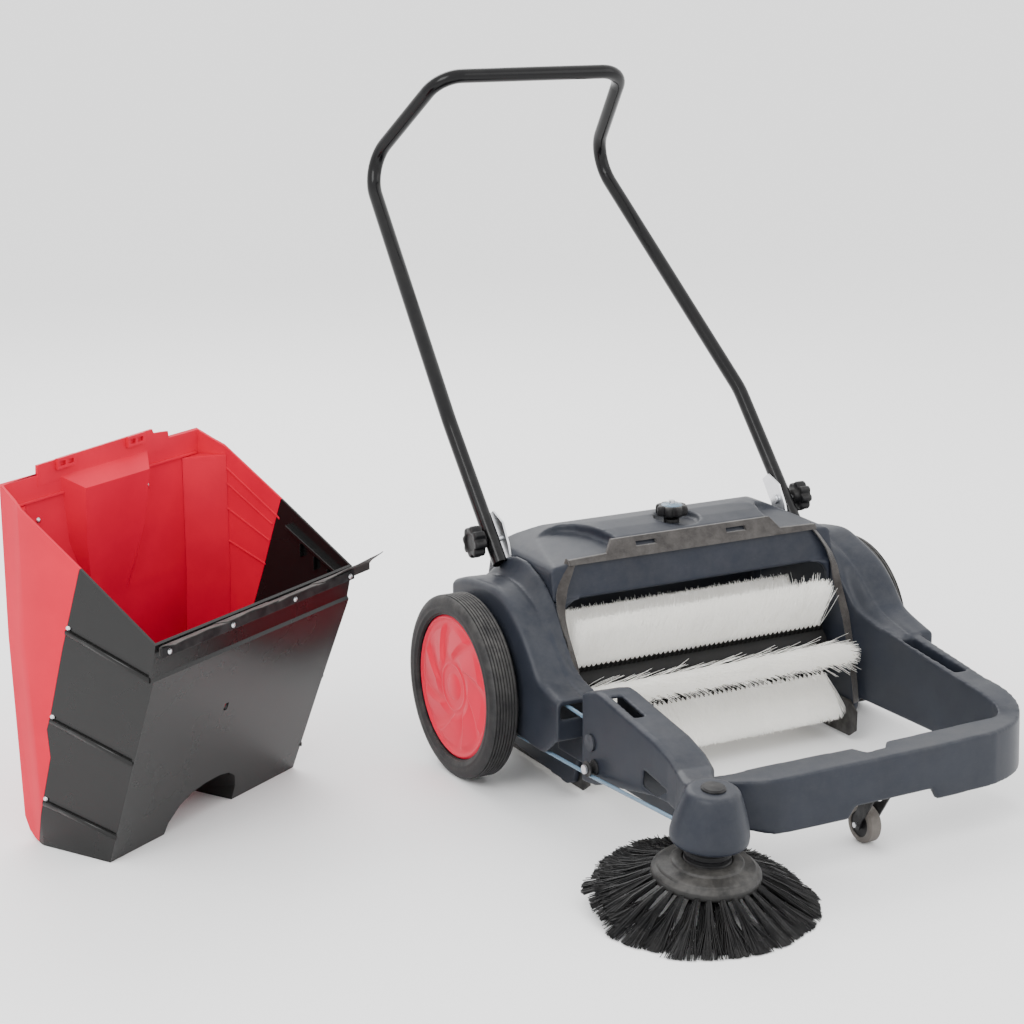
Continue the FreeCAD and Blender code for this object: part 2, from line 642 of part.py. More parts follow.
def belt_path():
    """Round belt: two runs from the brush pulley that turn a quarter way to the pod."""
    x = float(S.belt_x)
    rear_y, rear_z = float(S.brush_y), float(S.brush_z)
    rear = float(S.brush_pulley_radius)
    front = float(S.side_pulley_radius)
    pod = App.Vector(*[float(c) for c in at_pod(134)])
    lean = math.radians(float(S.pod_tilt))
    forward = App.Vector(0, -math.cos(lean), -math.sin(lean))
    rear_top = App.Vector(x, rear_y, rear_z + rear)
    rear_back = App.Vector(x, rear_y + rear, rear_z)
    rear_low = App.Vector(x, rear_y, rear_z - rear)
    outer = App.Vector(pod.x - front, pod.y, pod.z)
    inner = App.Vector(pod.x + front, pod.y, pod.z)
    nose = pod + forward * front
    idler_touch = App.Vector(x, -330, 98)
    edges = [Part.Arc(rear_low, rear_back, rear_top).toShape(),
             Part.LineSegment(rear_top, inner).toShape(),
             Part.Arc(inner, nose, outer).toShape(),
             Part.LineSegment(outer, idler_touch).toShape(),
             Part.LineSegment(idler_touch, rear_low).toShape()]
    return edges


def drive_belt():
    """The belt is made span by span, each a round bar, with balls at its turns."""
    radius = float(S.belt_radius)
    solid = None
    for edge in belt_path():
        span = sweep_round(Part.Wire([edge]), radius)
        ball = Part.makeSphere(radius * 1.06, edge.valueAt(edge.FirstParameter))
        solid = span.fuse(ball) if solid is None else solid.fuse([span, ball])
    finish(feature("drive_belt_shape", solid), "drive_belt")


def belt_idler():
    roller = revolved("idler_body", [(4.05, -7), (12, -7), (12, -5), (8, -2.4), (8, 2.4),
                                     (12, 5), (12, 7), (4.05, 7)])
    place(roller, (S.belt_x, -330, 109.2), turn_z_to((1, 0, 0)))
    finish(roller, "belt_idler")
    bolt = fuse("idler_bolt_fused", [
        cylinder("idler_bolt_rod", 4, 46, (-350, -330, 109.2), (1, 0, 0)),
        cylinder("idler_bolt_head", 7, 3, (-350, -330, 109.2), (1, 0, 0))])
    finish(bolt, "idler_bolt")


# ---------------------------------------------------------------- handle
def handle():
    """One bent tube: two legs that lean back, bend forward at the top and meet in a bar."""
    x = float(S.handle_x)
    lean = App.Vector(0, math.cos(math.radians(49.0)), math.sin(math.radians(49.0)))
    pivot = App.Vector(0, float(S.pivot_y), float(S.pivot_z))
    foot = pivot - lean * 44
    knee = pivot + lean * 224
    leg = [(x, foot.y, foot.z), (x, knee.y, knee.z), (237, 635, 916), (183, 447, 1083)]
    far_side = [(-px, py, pz) for px, py, pz in reversed(leg)]
    path = rounded_path(leg + far_side, [180, 62, 52, 52, 62, 180])
    radius = float(S.handle_radius)
    bar = sweep_round(path, radius)
    core = sweep_round(path, radius - float(S.handle_wall))
    tube = bar.cut(core)
    for side in (LEFT, RIGHT):
        start = App.Vector(side * x - 20, pivot.y, pivot.z)
        tube = tube.cut(Part.makeCylinder(4.55, 40, start, X_AXIS))
    finish(feature("handle_tube_shape", tube), "handle_tube")


def handle_mounts():
    for side_name, side in SIDES.items():
        plate_low = 271.7 if side == RIGHT else -275.2
        outline = [(26, 317.6), (50, 311.6), (84, 360), (108, 392), (92, 404), (60, 392), (40, 360)]
        plate = pad(f"bracket_{side_name}_plate", "YZ_Plane", outline, plate_low, 3.5)
        foot_low = 275.2 if side == RIGHT else -289.2
        foot = pad(f"bracket_{side_name}_foot", "YZ_Plane",
                   [(26, 317.6), (26, 321), (50, 315), (50, 311.6)], foot_low, 14)
        hole = cylinder(f"bracket_{side_name}_hole", 4.5, 20,
                        (side * 265, S.pivot_y, S.pivot_z), (side, 0, 0))
        finish(cut(f"bracket_{side_name}_cut",
                   fuse(f"bracket_{side_name}_solid", [plate, foot]), [hole]),
               f"handle_bracket_{side_name}")
        bolt = fuse(f"pivot_bolt_{side_name}_fused", [
            cylinder(f"pivot_bolt_{side_name}_rod", 4.5, 62,
                     (side * 267, S.pivot_y, S.pivot_z), (side, 0, 0)),
            cylinder(f"pivot_bolt_{side_name}_head", 8, 4,
                     (side * 267, S.pivot_y, S.pivot_z), (side, 0, 0))])
        finish(bolt, f"pivot_bolt_{side_name}")
        knob = star_knob(f"clamp_{side_name}", (side * 312, S.pivot_y, S.pivot_z),
                         (side, 0, 0), 24, 20, 4.55)
        finish(knob, f"handle_knob_{side_name}")


# ---------------------------------------------------------------- caster
def caster():
    x = S.caster_x
    swivel = S.caster_swivel_y
    plate = block("caster_plate_block", (x - 26, swivel - 20, 90), (x + 26, swivel + 14, 93.6))
    finish(fuse("caster_plate_fused", [
        plate, cylinder("caster_stem", 5, 16, (x, swivel, 76))]), "caster_plate")
    top = cylinder("fork_top", 17, 4, (x, swivel, 82))
    legs = []
    for side_name, side in SIDES.items():
        low = 13 if side == RIGHT else -16
        outline = [(swivel - 12, 86), (swivel + 16, 86), (S.caster_y + 9, 34),
                   (S.caster_y + 6, 22), (S.caster_y - 6, 22), (S.caster_y - 10, 34)]
        legs.append(pad(f"fork_leg_{side_name}", "YZ_Plane", outline, x + low, 3))
    bridge = block("fork_bridge", (x - 16, swivel - 12, 82), (x + 16, swivel + 16, 86))
    fork = cut("fork_cut", fuse("fork_solid", [top, bridge] + legs), [
        cylinder("fork_stem_hole", 5.05, 20, (x, swivel, 70)),
        cylinder("fork_axle_hole", 4, 60, (x - 30, S.caster_y, S.caster_radius), (1, 0, 0))])
    finish(fork, "caster_fork")
    finish(cylinder("caster_axle_rod", 4, 40, (x - 20, S.caster_y, S.caster_radius), (1, 0, 0)),
           "caster_axle")
    radius = S.caster_radius
    hub = revolved("caster_hub_body", [(4.05, -12), (8, -12), (8, -9), (20, -9), (20, 9), (8, 9),
                                       (8, 12), (4.05, 12)])
    tread = revolved("caster_tread_body", [(20, -11), (radius - 3, -11), (radius, -8),
                                           (radius, 8), (radius - 3, 11), (20, 11)])
    for body, label in ((hub, "caster_hub"), (tread, "caster_tread")):
        place(body, (x, S.caster_y, radius), turn_z_to((1, 0, 0)))
        finish(body, label)


# ---------------------------------------------------------------- skirts
def skirts():
    """Rubber flaps that keep the dust in behind and beside the brush."""
    finish(block("rear_skirt_strip", (-258, 96.5, 8), (258, 99.5, 96)), "rear_skirt")
    finish(block("rear_skirt_bar", (-258, 99.8, 74), (258, 103, 92)), "rear_skirt_clamp")
    for side_name, side in SIDES.items():
        low = 258.5 if side == RIGHT else -261.5
        outline = [(80, 8), (80, 70), (-178, 70), (-198, 55), (-198, 22), (-180, 8)]
        finish(pad(f"side_skirt_{side_name}_flap", "YZ_Plane", outline, low, 3),
               f"side_skirt_{side_name}")


# ---------------------------------------------------------------- hopper
def hopper_profile(inset):
    """Side view of the hopper: lip, sloped underside, foot, back wall and slanted rim."""
    lip_z = S.hopper_lip_z
    depth = S.hopper_depth
    return [(0 + inset, lip_z), (8 + inset, 299), (115 + inset, inset), (268 - inset, inset),
            (depth - inset, 30), (depth - inset, S.hopper_back_z), (244, 523)]


def hopper_block(name, inset):
    """The hopper's outer form, or its hollow when inset by the wall."""
    profile = hopper_profile(inset)
    if inset:
        profile[0] = (inset - 3, S.hopper_lip_z + 4)
        profile[-2] = (S.hopper_depth - inset, S.hopper_back_z + 5)
        profile[-1] = (244 - 3, 528)
    half = S.hopper_half - inset
    foot = S.hopper_foot_half - inset
    solid = pad(f"{name}_block", "YZ_Plane", profile, -half, 2 * half)
    tools = []
    for side_name, side in SIDES.items():
        taper = [(side * half, 300), (side * foot, 0 - 2), (side * (half + 20), 0 - 2),
                 (side * (half + 20), 300)]
        tools.append(pad(f"{name}_taper_{side_name}", "XZ_Plane", taper, -400, 500))
        corner = [(side * half, 244 - inset), (side * (half - 20), 300 - inset),
                  (side * (half + 20), 300 - inset), (side * (half + 20), 244 - inset)]
        tools.append(pad(f"{name}_corner_{side_name}", "XY_Plane", corner, -10, 700))
    return cut(name, solid, tools)


def hopper():
    where = (S.machine_x + S.hopper_x, S.machine_y + S.hopper_y, 0)
    turn = App.Rotation(Z_AXIS, float(S.hopper_turn))
    wall = float(S.hopper_wall)
    grip = [(257, 515), (S.hopper_depth - 1, 540), (S.hopper_depth - 1, 311)]
    grip_hollow = [(262, 512), (S.hopper_depth + 2, 535), (S.hopper_depth + 2, 328)]
    outer = hopper_block("hopper_outer", 0)
    grip_outside = pad("grip_wedge", "YZ_Plane", grip, -95, 182)
    grip_inside = pad("grip_wedge_hollow", "YZ_Plane", grip_hollow, -91, 174)
    hollow = cut("hopper_hollow_cut", hopper_block("hopper_hollow", wall), [grip_outside])
    hooks = [block(f"latch_{n}", (x - 20, S.hopper_depth - 9, 544),
                   (x + 20, S.hopper_depth - 0.5, 562)) for n, x in (("left", -93), ("right", 67))]
    shell = cut("hopper_shell_cut", outer, [hollow, grip_inside])
    full = fuse("hopper_full", [shell, block("hopper_rim_rise", (-153, 288, 540), (132, 292, 560))]
                + hooks)
    # the black base takes everything in front of a seam that leans back towards the floor
    front = [(-40, -20), (-40, 460), (100, 460), (132, 446), (210, 170), (222, 140), (262, -20)]
    base_zone = pad("hopper_base_zone", "YZ_Plane", front, -300, 600)
    back_zone = pad("hopper_shell_zone", "YZ_Plane", [(u + 0.15, v) for u, v in front],
                    -300, 600)
    finish(cut("hopper_shell_only", full, [back_zone]), "hopper_shell", where, turn)
    arch = cylinder("hopper_arch", 84, 160, (-20, 40, -8), (0, 1, 0))
    hopper_in_arch = cylinder("hopper_arch_wall", 88, 159, (-20, 41, -8), (0, 1, 0))
    arch_wall = common("hopper_arch_inside", hopper_in_arch, hopper_block("hopper_arch_limit", 0))
    base = fuse("hopper_base_with_arch", [common("hopper_base_part", full, base_zone), arch_wall])
    finish(cut("hopper_base_only", base, [arch]), "hopper_base", where, turn)
    hopper_lip(where, turn)


def hopper_lip(where, turn):
    """Rubber lip, its clamping strip and the fasteners along the mouth."""
    lip = pad("lip_strip_body", "YZ_Plane", [(-4.2, 334), (-0.9, 334), (-1.5, 356), (-13, 380),
                                             (-15.5, 378), (-4.2, 354)], -236, 508)
    finish(lip, "hopper_lip", where, turn)
    strip = block("lip_bar", (-232, -7.2, 335), (232, -4.5, 350))
    finish(strip, "lip_clamp_strip", where, turn)
    xs = (-216, -72, 72, 216)
    screws = [cylinder(f"lip_screw_{i}", 5, 3, (x, -10.4, 342), (0, 1, 0))
              for i, x in enumerate(xs)]
    finish(compound("lip_screw_group", screws), "lip_screws", where, turn)
    feet = [cylinder(f"hopper_foot_{n}", 12, 8, (x, 278, 0), (0, 0, 1))
            for n, x in (("left", -190), ("right", 190))]
    finish(cut("hopper_feet_cut", compound("hopper_feet_group", feet),
               [hopper_block("feet_limit", 0)]), "hopper_feet", where, turn)


# ---------------------------------------------------------------- build and export
base_frame()
front_frame()
top_cover()
hopper_seal()
height_adjuster()
for wheel_side, wheel_sign in SIDES.items():
    wheel(wheel_side, wheel_sign)
main_brush()
brush_drive()
side_arm()
side_brush()
drive_belt()
belt_idler()
handle()
handle_mounts()
caster()
skirts()
hopper()
doc.recompute()

problems = [o.Name for o in doc.Objects if "Invalid" in o.State or "Error" in o.State]
for part in parts:
    if part.Shape.isNull() or not part.Shape.isValid() or not part.Shape.Solids:
        problems.append(part.Label)
if problems:
    raise RuntimeError("failed objects: " + ", ".join(sorted(set(problems))))

os.makedirs("parts", exist_ok=True)
whole = App.BoundBox()
for part in parts:
    part.Shape.exportStep(os.path.join("parts", part.Label + ".step"))
    whole.add(part.Shape.BoundBox)
    print(part.Label, len(part.Shape.Solids), "solids", round(part.Shape.Volume / 1000, 1), "cm3")
print("nodes", len(parts), "box", whole)
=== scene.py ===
# %% [markdown]
# # Walk-behind sweeper
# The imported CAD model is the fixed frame: it says where each part is and how it moves. This
# notebook builds the visible surfaces around it, one part of the machine at a time, and gives
# every part a procedural finish. Lengths are written in millimetres of the machine's own frame
# (x across from its middle, y from the axle towards the handle, z up from the floor) and turned
# into metres here.

# %% Frame and lengths
import math

import bmesh
import bpy
import numpy as np
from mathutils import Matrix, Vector


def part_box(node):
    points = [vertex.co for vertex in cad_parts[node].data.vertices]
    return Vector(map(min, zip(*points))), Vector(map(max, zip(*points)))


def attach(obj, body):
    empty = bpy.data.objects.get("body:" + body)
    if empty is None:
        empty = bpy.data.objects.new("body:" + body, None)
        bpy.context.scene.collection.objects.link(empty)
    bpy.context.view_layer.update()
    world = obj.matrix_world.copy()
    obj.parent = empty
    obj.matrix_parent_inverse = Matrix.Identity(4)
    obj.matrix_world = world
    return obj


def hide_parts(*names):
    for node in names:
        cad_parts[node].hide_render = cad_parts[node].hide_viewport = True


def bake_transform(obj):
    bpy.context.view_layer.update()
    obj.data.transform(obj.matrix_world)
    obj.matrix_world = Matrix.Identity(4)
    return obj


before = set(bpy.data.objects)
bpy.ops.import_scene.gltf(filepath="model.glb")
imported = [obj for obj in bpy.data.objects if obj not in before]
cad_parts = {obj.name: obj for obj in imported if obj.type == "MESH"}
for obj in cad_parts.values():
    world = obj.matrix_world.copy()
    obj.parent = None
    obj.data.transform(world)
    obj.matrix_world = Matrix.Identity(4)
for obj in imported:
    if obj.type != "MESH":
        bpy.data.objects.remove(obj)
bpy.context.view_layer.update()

MM = 0.001
tyre_low, tyre_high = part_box("tyre_left")
MID_X = (tyre_low.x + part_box("tyre_right")[1].x) / 2
AXLE_Y = (tyre_low.y + tyre_high.y) / 2
AXLE_Z = 149.0
LEFT, RIGHT = -1, 1


def at(x, y, z):
    """A point of the machine, in millimetres, as a point of the row frame."""
    return Vector((MID_X + x * MM, AXLE_Y + y * MM, z * MM))


print("machine origin", round(MID_X, 4), round(AXLE_Y, 4), "nodes", len(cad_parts))

# %% [markdown]
# ## Mesh tools
# Almost every part here is either an outline pushed along an axis, a turned profile, or a skin
# over a row of cross-sections. Primitives could be stretched into place instead, but a few
# measured points say more about the real part, so these helpers build straight from points.

# %% Mesh tools
def new_object(name, points, faces):
    mesh = bpy.data.meshes.new(name)
    mesh.from_pydata([tuple(p) for p in points], [], faces)
    obj = bpy.data.objects.new(name, mesh)
    bpy.context.scene.collection.objects.link(obj)
    shape = bmesh.new()
    shape.from_mesh(mesh)
    bmesh.ops.recalc_face_normals(shape, faces=shape.faces)
    shape.to_mesh(mesh)
    shape.free()
    return obj


def loft(name, rings, closed=True, caps=True):
    """Skin over rings of points; every ring has the same number of points."""
    count = len(rings[0])
    points = [p for ring in rings for p in ring]
    faces = []
    for r in range(len(rings) - 1):
        for i in range(count if closed else count - 1):
            j = (i + 1) % count
            faces.append((r * count + i, r * count + j, (r + 1) * count + j, (r + 1) * count + i))
    if caps:
        faces.append(tuple(range(count))[::-1])
        faces.append(tuple((len(rings) - 1) * count + i for i in range(count)))
    return new_object(name, points, faces)


def prism(name, axis, outline, low, high, place=at):
    """Outline pushed along one axis; its pairs are the other two coordinates in order."""
    def point(pair, level):
        coords = list(pair)
        coords.insert("xyz".index(axis), level)
        return place(*coords)
    return loft(name, [[point(p, level) for p in outline] for level in (low, high)])


def box(name, low, high, place=at):
    outline = [(low[0], low[1]), (high[0], low[1]), (high[0], high[1]), (low[0], high[1])]
    return prism(name, "z", outline, low[2], high[2], place)


def lathe(name, profile, centre, axis, steps=64):
    """Profile of (radius, height) pairs turned round an axis that starts at centre."""
    turn = Vector((0, 0, 1)).rotation_difference(Vector(axis)).to_matrix()
    rings = []
    for radius, height in profile:
        ring = []
        for i in range(steps):
            angle = 2 * math.pi * i / steps
            offset = Vector((radius * math.cos(angle), radius * math.sin(angle), height)) * MM
            ring.append(centre + turn @ offset)
        rings.append(ring)
    closed_ends = profile[0][0] > 0.01
    obj = loft(name, rings, caps=closed_ends)
    shape = bmesh.new()
    shape.from_mesh(obj.data)
    bmesh.ops.remove_doubles(shape, verts=shape.verts, dist=1e-6)
    bmesh.ops.recalc_face_normals(shape, faces=shape.faces)
    shape.to_mesh(obj.data)
    shape.free()
    return obj


print("helpers", [f.__name__ for f in (new_object, loft, prism, box, lathe)])

# %% [markdown]
# Injection mouldings have rounded edges, even walls and soft fillets where walls meet. Two
# ways give that here. A thick moulding is put together from prisms and lofts, turned into an
# even skin and relaxed, which rounds its edges and fills its corners. A thin or sharp part keeps
# its faces and gets a narrow bevel, because a skin would eat its crisp edges.

# %% Cutting, skinning and softening
def bake(obj):
    graph = bpy.context.evaluated_depsgraph_get()
    mesh = bpy.data.meshes.new_from_object(obj.evaluated_get(graph))
    obj.modifiers.clear()
    obj.data = mesh
    return obj


def combine(obj, others, operation):
    for other in others:
        step = obj.modifiers.new(operation.lower(), "BOOLEAN")
        step.operation = operation
        step.solver = "EXACT"
        step.object = other
    bake(obj)
    for other in others:
        bpy.data.objects.remove(other)
    return obj


def carve(obj, cutters):
    return combine(obj, cutters, "DIFFERENCE")


def gather(name, parts):
    """One object with the faces of all the parts."""
    shape = bmesh.new()
    for part in parts:
        shape.from_mesh(part.data)
    mesh = bpy.data.meshes.new(name)
    shape.to_mesh(mesh)
    shape.free()
    for part in parts:
        bpy.data.objects.remove(part)
    obj = bpy.data.objects.new(name, mesh)
    bpy.context.scene.collection.objects.link(obj)
    return obj


def mould(obj, voxel, rounds):
    """Even skin over everything in obj, relaxed so that edges and corners become round."""
    skin = obj.modifiers.new("skin", "REMESH")
    skin.mode = "VOXEL"
    skin.voxel_size = voxel * MM
    relax = obj.modifiers.new("relax", "SMOOTH")
    relax.factor = 0.5
    relax.iterations = rounds
    bake(obj)
    return shade(obj)


def shade(obj):
    obj.data.polygons.foreach_set("use_smooth", [True] * len(obj.data.polygons))
    return obj


def soften(obj, width, segments=3, angle=28):
    """Narrow rounded edges on a sharp part, with flat faces that stay flat."""
    edge = obj.modifiers.new("edges", "BEVEL")
    edge.width = width * MM
    edge.segments = segments
    edge.limit_method = "ANGLE"
    edge.angle_limit = math.radians(angle)
    edge.harden_normals = True
    return shade(obj)


def split(obj, names, point, normal):
    """Two objects from one moulded skin, parted by a plane."""
    pieces = []
    for name, keep_far in zip(names, (True, False)):
        piece = obj.copy()
        piece.data = obj.data.copy()
        piece.name = name
        bpy.context.scene.collection.objects.link(piece)
        shape = bmesh.new()
        shape.from_mesh(piece.data)
        bmesh.ops.bisect_plane(shape, geom=shape.verts[:] + shape.edges[:] + shape.faces[:],
                               plane_co=point, plane_no=normal, clear_inner=keep_far,
                               clear_outer=not keep_far)
        shape.to_mesh(piece.data)
        shape.free()
        pieces.append(piece)
    bpy.data.objects.remove(obj)
    return pieces


print("helpers", [f.__name__ for f in (carve, gather, mould, soften, split)])

# %% [markdown]
# Two small helpers are left. One draws a smooth curve through a few heights, which is how a
# long moulded edge flows. The other gives a finished piece its material and tells the frame which
# body it rides on and which CAD nodes it stands for.

# %% Curves and settling
def line(points):
    """Smooth curve through pairs, as a function of their first number."""
    known = sorted(points)
    xs = [p[0] for p in known]
    ys = [p[1] for p in known]
    slopes = []
    for i in range(len(known)):
        before, after = max(i - 1, 0), min(i + 1, len(known) - 1)
        slopes.append((ys[after] - ys[before]) / (xs[after] - xs[before]))

    def value(x):
        x = min(max(x, xs[0]), xs[-1])
        i = min(max(int(np.searchsorted(xs, x)) - 1, 0), len(xs) - 2)
        gap = xs[i + 1] - xs[i]
        t = (x - xs[i]) / gap
        return ((2 * t**3 - 3 * t**2 + 1) * ys[i] + (t**3 - 2 * t**2 + t) * gap * slopes[i]
                + (3 * t**2 - 2 * t**3) * ys[i + 1] + (t**3 - t**2) * gap * slopes[i + 1])
    return value


def settle(obj, body, material, replaced=()):
    """Finish of a piece: its material, the body it rides on and the CAD nodes it stands for."""
    obj.data.materials.clear()
    obj.data.materials.append(materials[material])
    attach(obj, body)
    if replaced:
        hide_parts(*replaced)
    print(obj.name, len(obj.data.polygons), "faces")
    return obj


# %% [markdown]
# ## Shared surface effects
# Every finish is made of the same few things: the grain of the mould, dust that settles on
# faces that look up, pale edges that are painted highlight and rubbed wear in one, and fine
# scratches. Each one is a node group that is built once, with named sockets, and gives only
# colours, masks or heights. The shader stays in the material.

# %% Shared node groups
def new_group(name, inputs, outputs):
    tree = bpy.data.node_groups.new(name, "ShaderNodeTree")
    for label, kind, value in inputs:
        socket = tree.interface.new_socket(name=label, in_out="INPUT", socket_type=kind)
        socket.default_value = value
    for label, kind in outputs:
        tree.interface.new_socket(name=label, in_out="OUTPUT", socket_type=kind)
    return tree, tree.nodes.new("NodeGroupInput"), tree.nodes.new("NodeGroupOutput")


def node(tree, kind, settings=None, **links):
    """New node; settings are its properties, links are values or sockets for its inputs."""
    made = tree.nodes.new(kind)
    for key, value in (settings or {}).items():
        setattr(made, key, value)
    for key, value in links.items():
        socket = made.inputs[int(key[1:])] if key[0] == "i" and key[1:].isdigit() \
            else made.inputs[key.replace("_", " ")]
        if isinstance(value, bpy.types.NodeSocket):
            tree.links.new(value, socket)
        else:
            socket.default_value = value
    return made


def math_node(tree, operation, first, second=0.5):
    return node(tree, "ShaderNodeMath", {"operation": operation}, i0=first, i1=second).outputs[0]


def remap(tree, value, low, high, out_low=0.0, out_high=1.0):
    return node(tree, "ShaderNodeMapRange", None, Value=value, From_Min=low, From_Max=high,
                To_Min=out_low, To_Max=out_high).outputs[0]


def mix_colour(tree, factor, first, second):
    made = node(tree, "ShaderNodeMix", {"data_type": "RGBA"}, i0=factor, i6=first, i7=second)
    return made.outputs[2]


FLOAT, COLOUR = "NodeSocketFloat", "NodeSocketColor"

grain_group, g_in, g_out = new_group(
    "Mould Grain", [("Scale", FLOAT, 900.0), ("Coarseness", FLOAT, 0.3)],
    [("Height", FLOAT), ("Cloud", FLOAT)])
place_of = node(grain_group, "ShaderNodeTexCoord").outputs["Object"]
fine = node(grain_group, "ShaderNodeTexNoise", None, Vector=place_of, Scale=g_in.outputs["Scale"],
            Detail=3.0, Roughness=0.6)
cells = node(grain_group, "ShaderNodeTexVoronoi", None, Vector=place_of,
             Scale=g_in.outputs["Scale"])
cloud = node(grain_group, "ShaderNodeTexNoise", None, Vector=place_of, Scale=14.0, Detail=5.0)
cell_part = math_node(grain_group, "MULTIPLY", cells.outputs["Distance"],
                      g_in.outputs["Coarseness"])
height = math_node(grain_group, "ADD", fine.outputs[0], cell_part)
grain_group.links.new(height, g_out.inputs["Height"])
grain_group.links.new(cloud.outputs[0], g_out.inputs["Cloud"])

dust_group, d_in, d_out = new_group(
    "Settled Dust", [("Base Color", COLOUR, (0.1, 0.1, 0.1, 1)),
                     ("Dust Color", COLOUR, (0.55, 0.52, 0.48, 1)), ("Amount", FLOAT, 0.15)],
    [("Color", COLOUR), ("Mask", FLOAT)])
facing = node(dust_group, "ShaderNodeSeparateXYZ", None,
              Vector=node(dust_group, "ShaderNodeNewGeometry").outputs["Normal"])
upward = remap(dust_group, facing.outputs[2], -0.2, 1.0, 0.12, 1.0)
dust_place = node(dust_group, "ShaderNodeTexCoord").outputs["Object"]
drift = node(dust_group, "ShaderNodeTexNoise", None, Vector=dust_place, Scale=38.0, Detail=8.0,
             Roughness=0.7)
patches = remap(dust_group, drift.outputs[0], 0.35, 0.75)
dust_mask = math_node(dust_group, "MULTIPLY", math_node(dust_group, "MULTIPLY", upward, patches),
                      d_in.outputs["Amount"])
dust_colour = mix_colour(dust_group, dust_mask, d_in.outputs["Base Color"],
                         d_in.outputs["Dust Color"])
dust_group.links.new(dust_colour, d_out.inputs["Color"])
dust_group.links.new(dust_mask, d_out.inputs["Mask"])

# Painted edge highlight and rubbed wear in one: convex edges, found by pointiness and broken into
# patches by noise, give the mask for a paler colour.
edge_highlight_wear_group, w_in, w_out = new_group(
    "Edge Highlight And Wear", [("Amount", FLOAT, 0.3)], [("Mask", FLOAT)])
shape_of = node(edge_highlight_wear_group, "ShaderNodeNewGeometry")
ridge = remap(edge_highlight_wear_group, shape_of.outputs["Pointiness"], 0.52, 0.60)
edge_patch_place = node(edge_highlight_wear_group, "ShaderNodeTexCoord").outputs["Object"]
edge_patch_noise = node(edge_highlight_wear_group, "ShaderNodeTexNoise", None, Vector=edge_patch_place, Scale=60.0, Detail=6.0)
edge_highlight_wear_mask = math_node(edge_highlight_wear_group, "MULTIPLY", ridge, remap(edge_highlight_wear_group, edge_patch_noise.outputs[0], 0.35, 0.7))
edge_highlight_wear_group.links.new(math_node(edge_highlight_wear_group, "MULTIPLY", edge_highlight_wear_mask, w_in.outputs["Amount"]),
                     w_out.inputs["Mask"])

scratch_group, s_in, s_out = new_group(
    "Fine Scratches", [("Scale", FLOAT, 60.0), ("Amount", FLOAT, 0.2)], [("Mask", FLOAT)])
scratch_place = node(scratch_group, "ShaderNodeTexCoord").outputs["Object"]
scratch_sum = None
for turn in (0.4, 1.7, 2.6):
    stretched = node(scratch_group, "ShaderNodeMapping", None, Vector=scratch_place,
                     Rotation=(turn, turn * 0.7, turn * 1.9), Scale=(1.0, 26.0, 26.0))
    streaks = node(scratch_group, "ShaderNodeTexNoise", None, Vector=stretched.outputs[0],
                   Scale=s_in.outputs["Scale"], Detail=2.0)
    thin = remap(scratch_group, streaks.outputs[0], 0.70, 0.76)
    scratch_sum = thin if scratch_sum is None else math_node(scratch_group, "MAXIMUM",
                                                             scratch_sum, thin)
scratch_group.links.new(math_node(scratch_group, "MULTIPLY", scratch_sum, s_in.outputs["Amount"]),
                        s_out.inputs["Mask"])
print("groups", [g.name for g in bpy.data.node_groups])

# %% [markdown]
# ## Finishes
# The big mouldings are satin polypropylene in slate grey, red and black; the front of the
# hopper is a glossier black. The handle is enamelled tube, the small metal parts are zinc
# plated, the tyres and flaps are rubber, and the seal is soft foam. One function builds them all:
# a base colour with faint clouds, grain as bump, dust, pale edges that are painted highlight and
# rubbed wear in one, and scratches, each in its own amount.

# %% Finishes
materials = {}


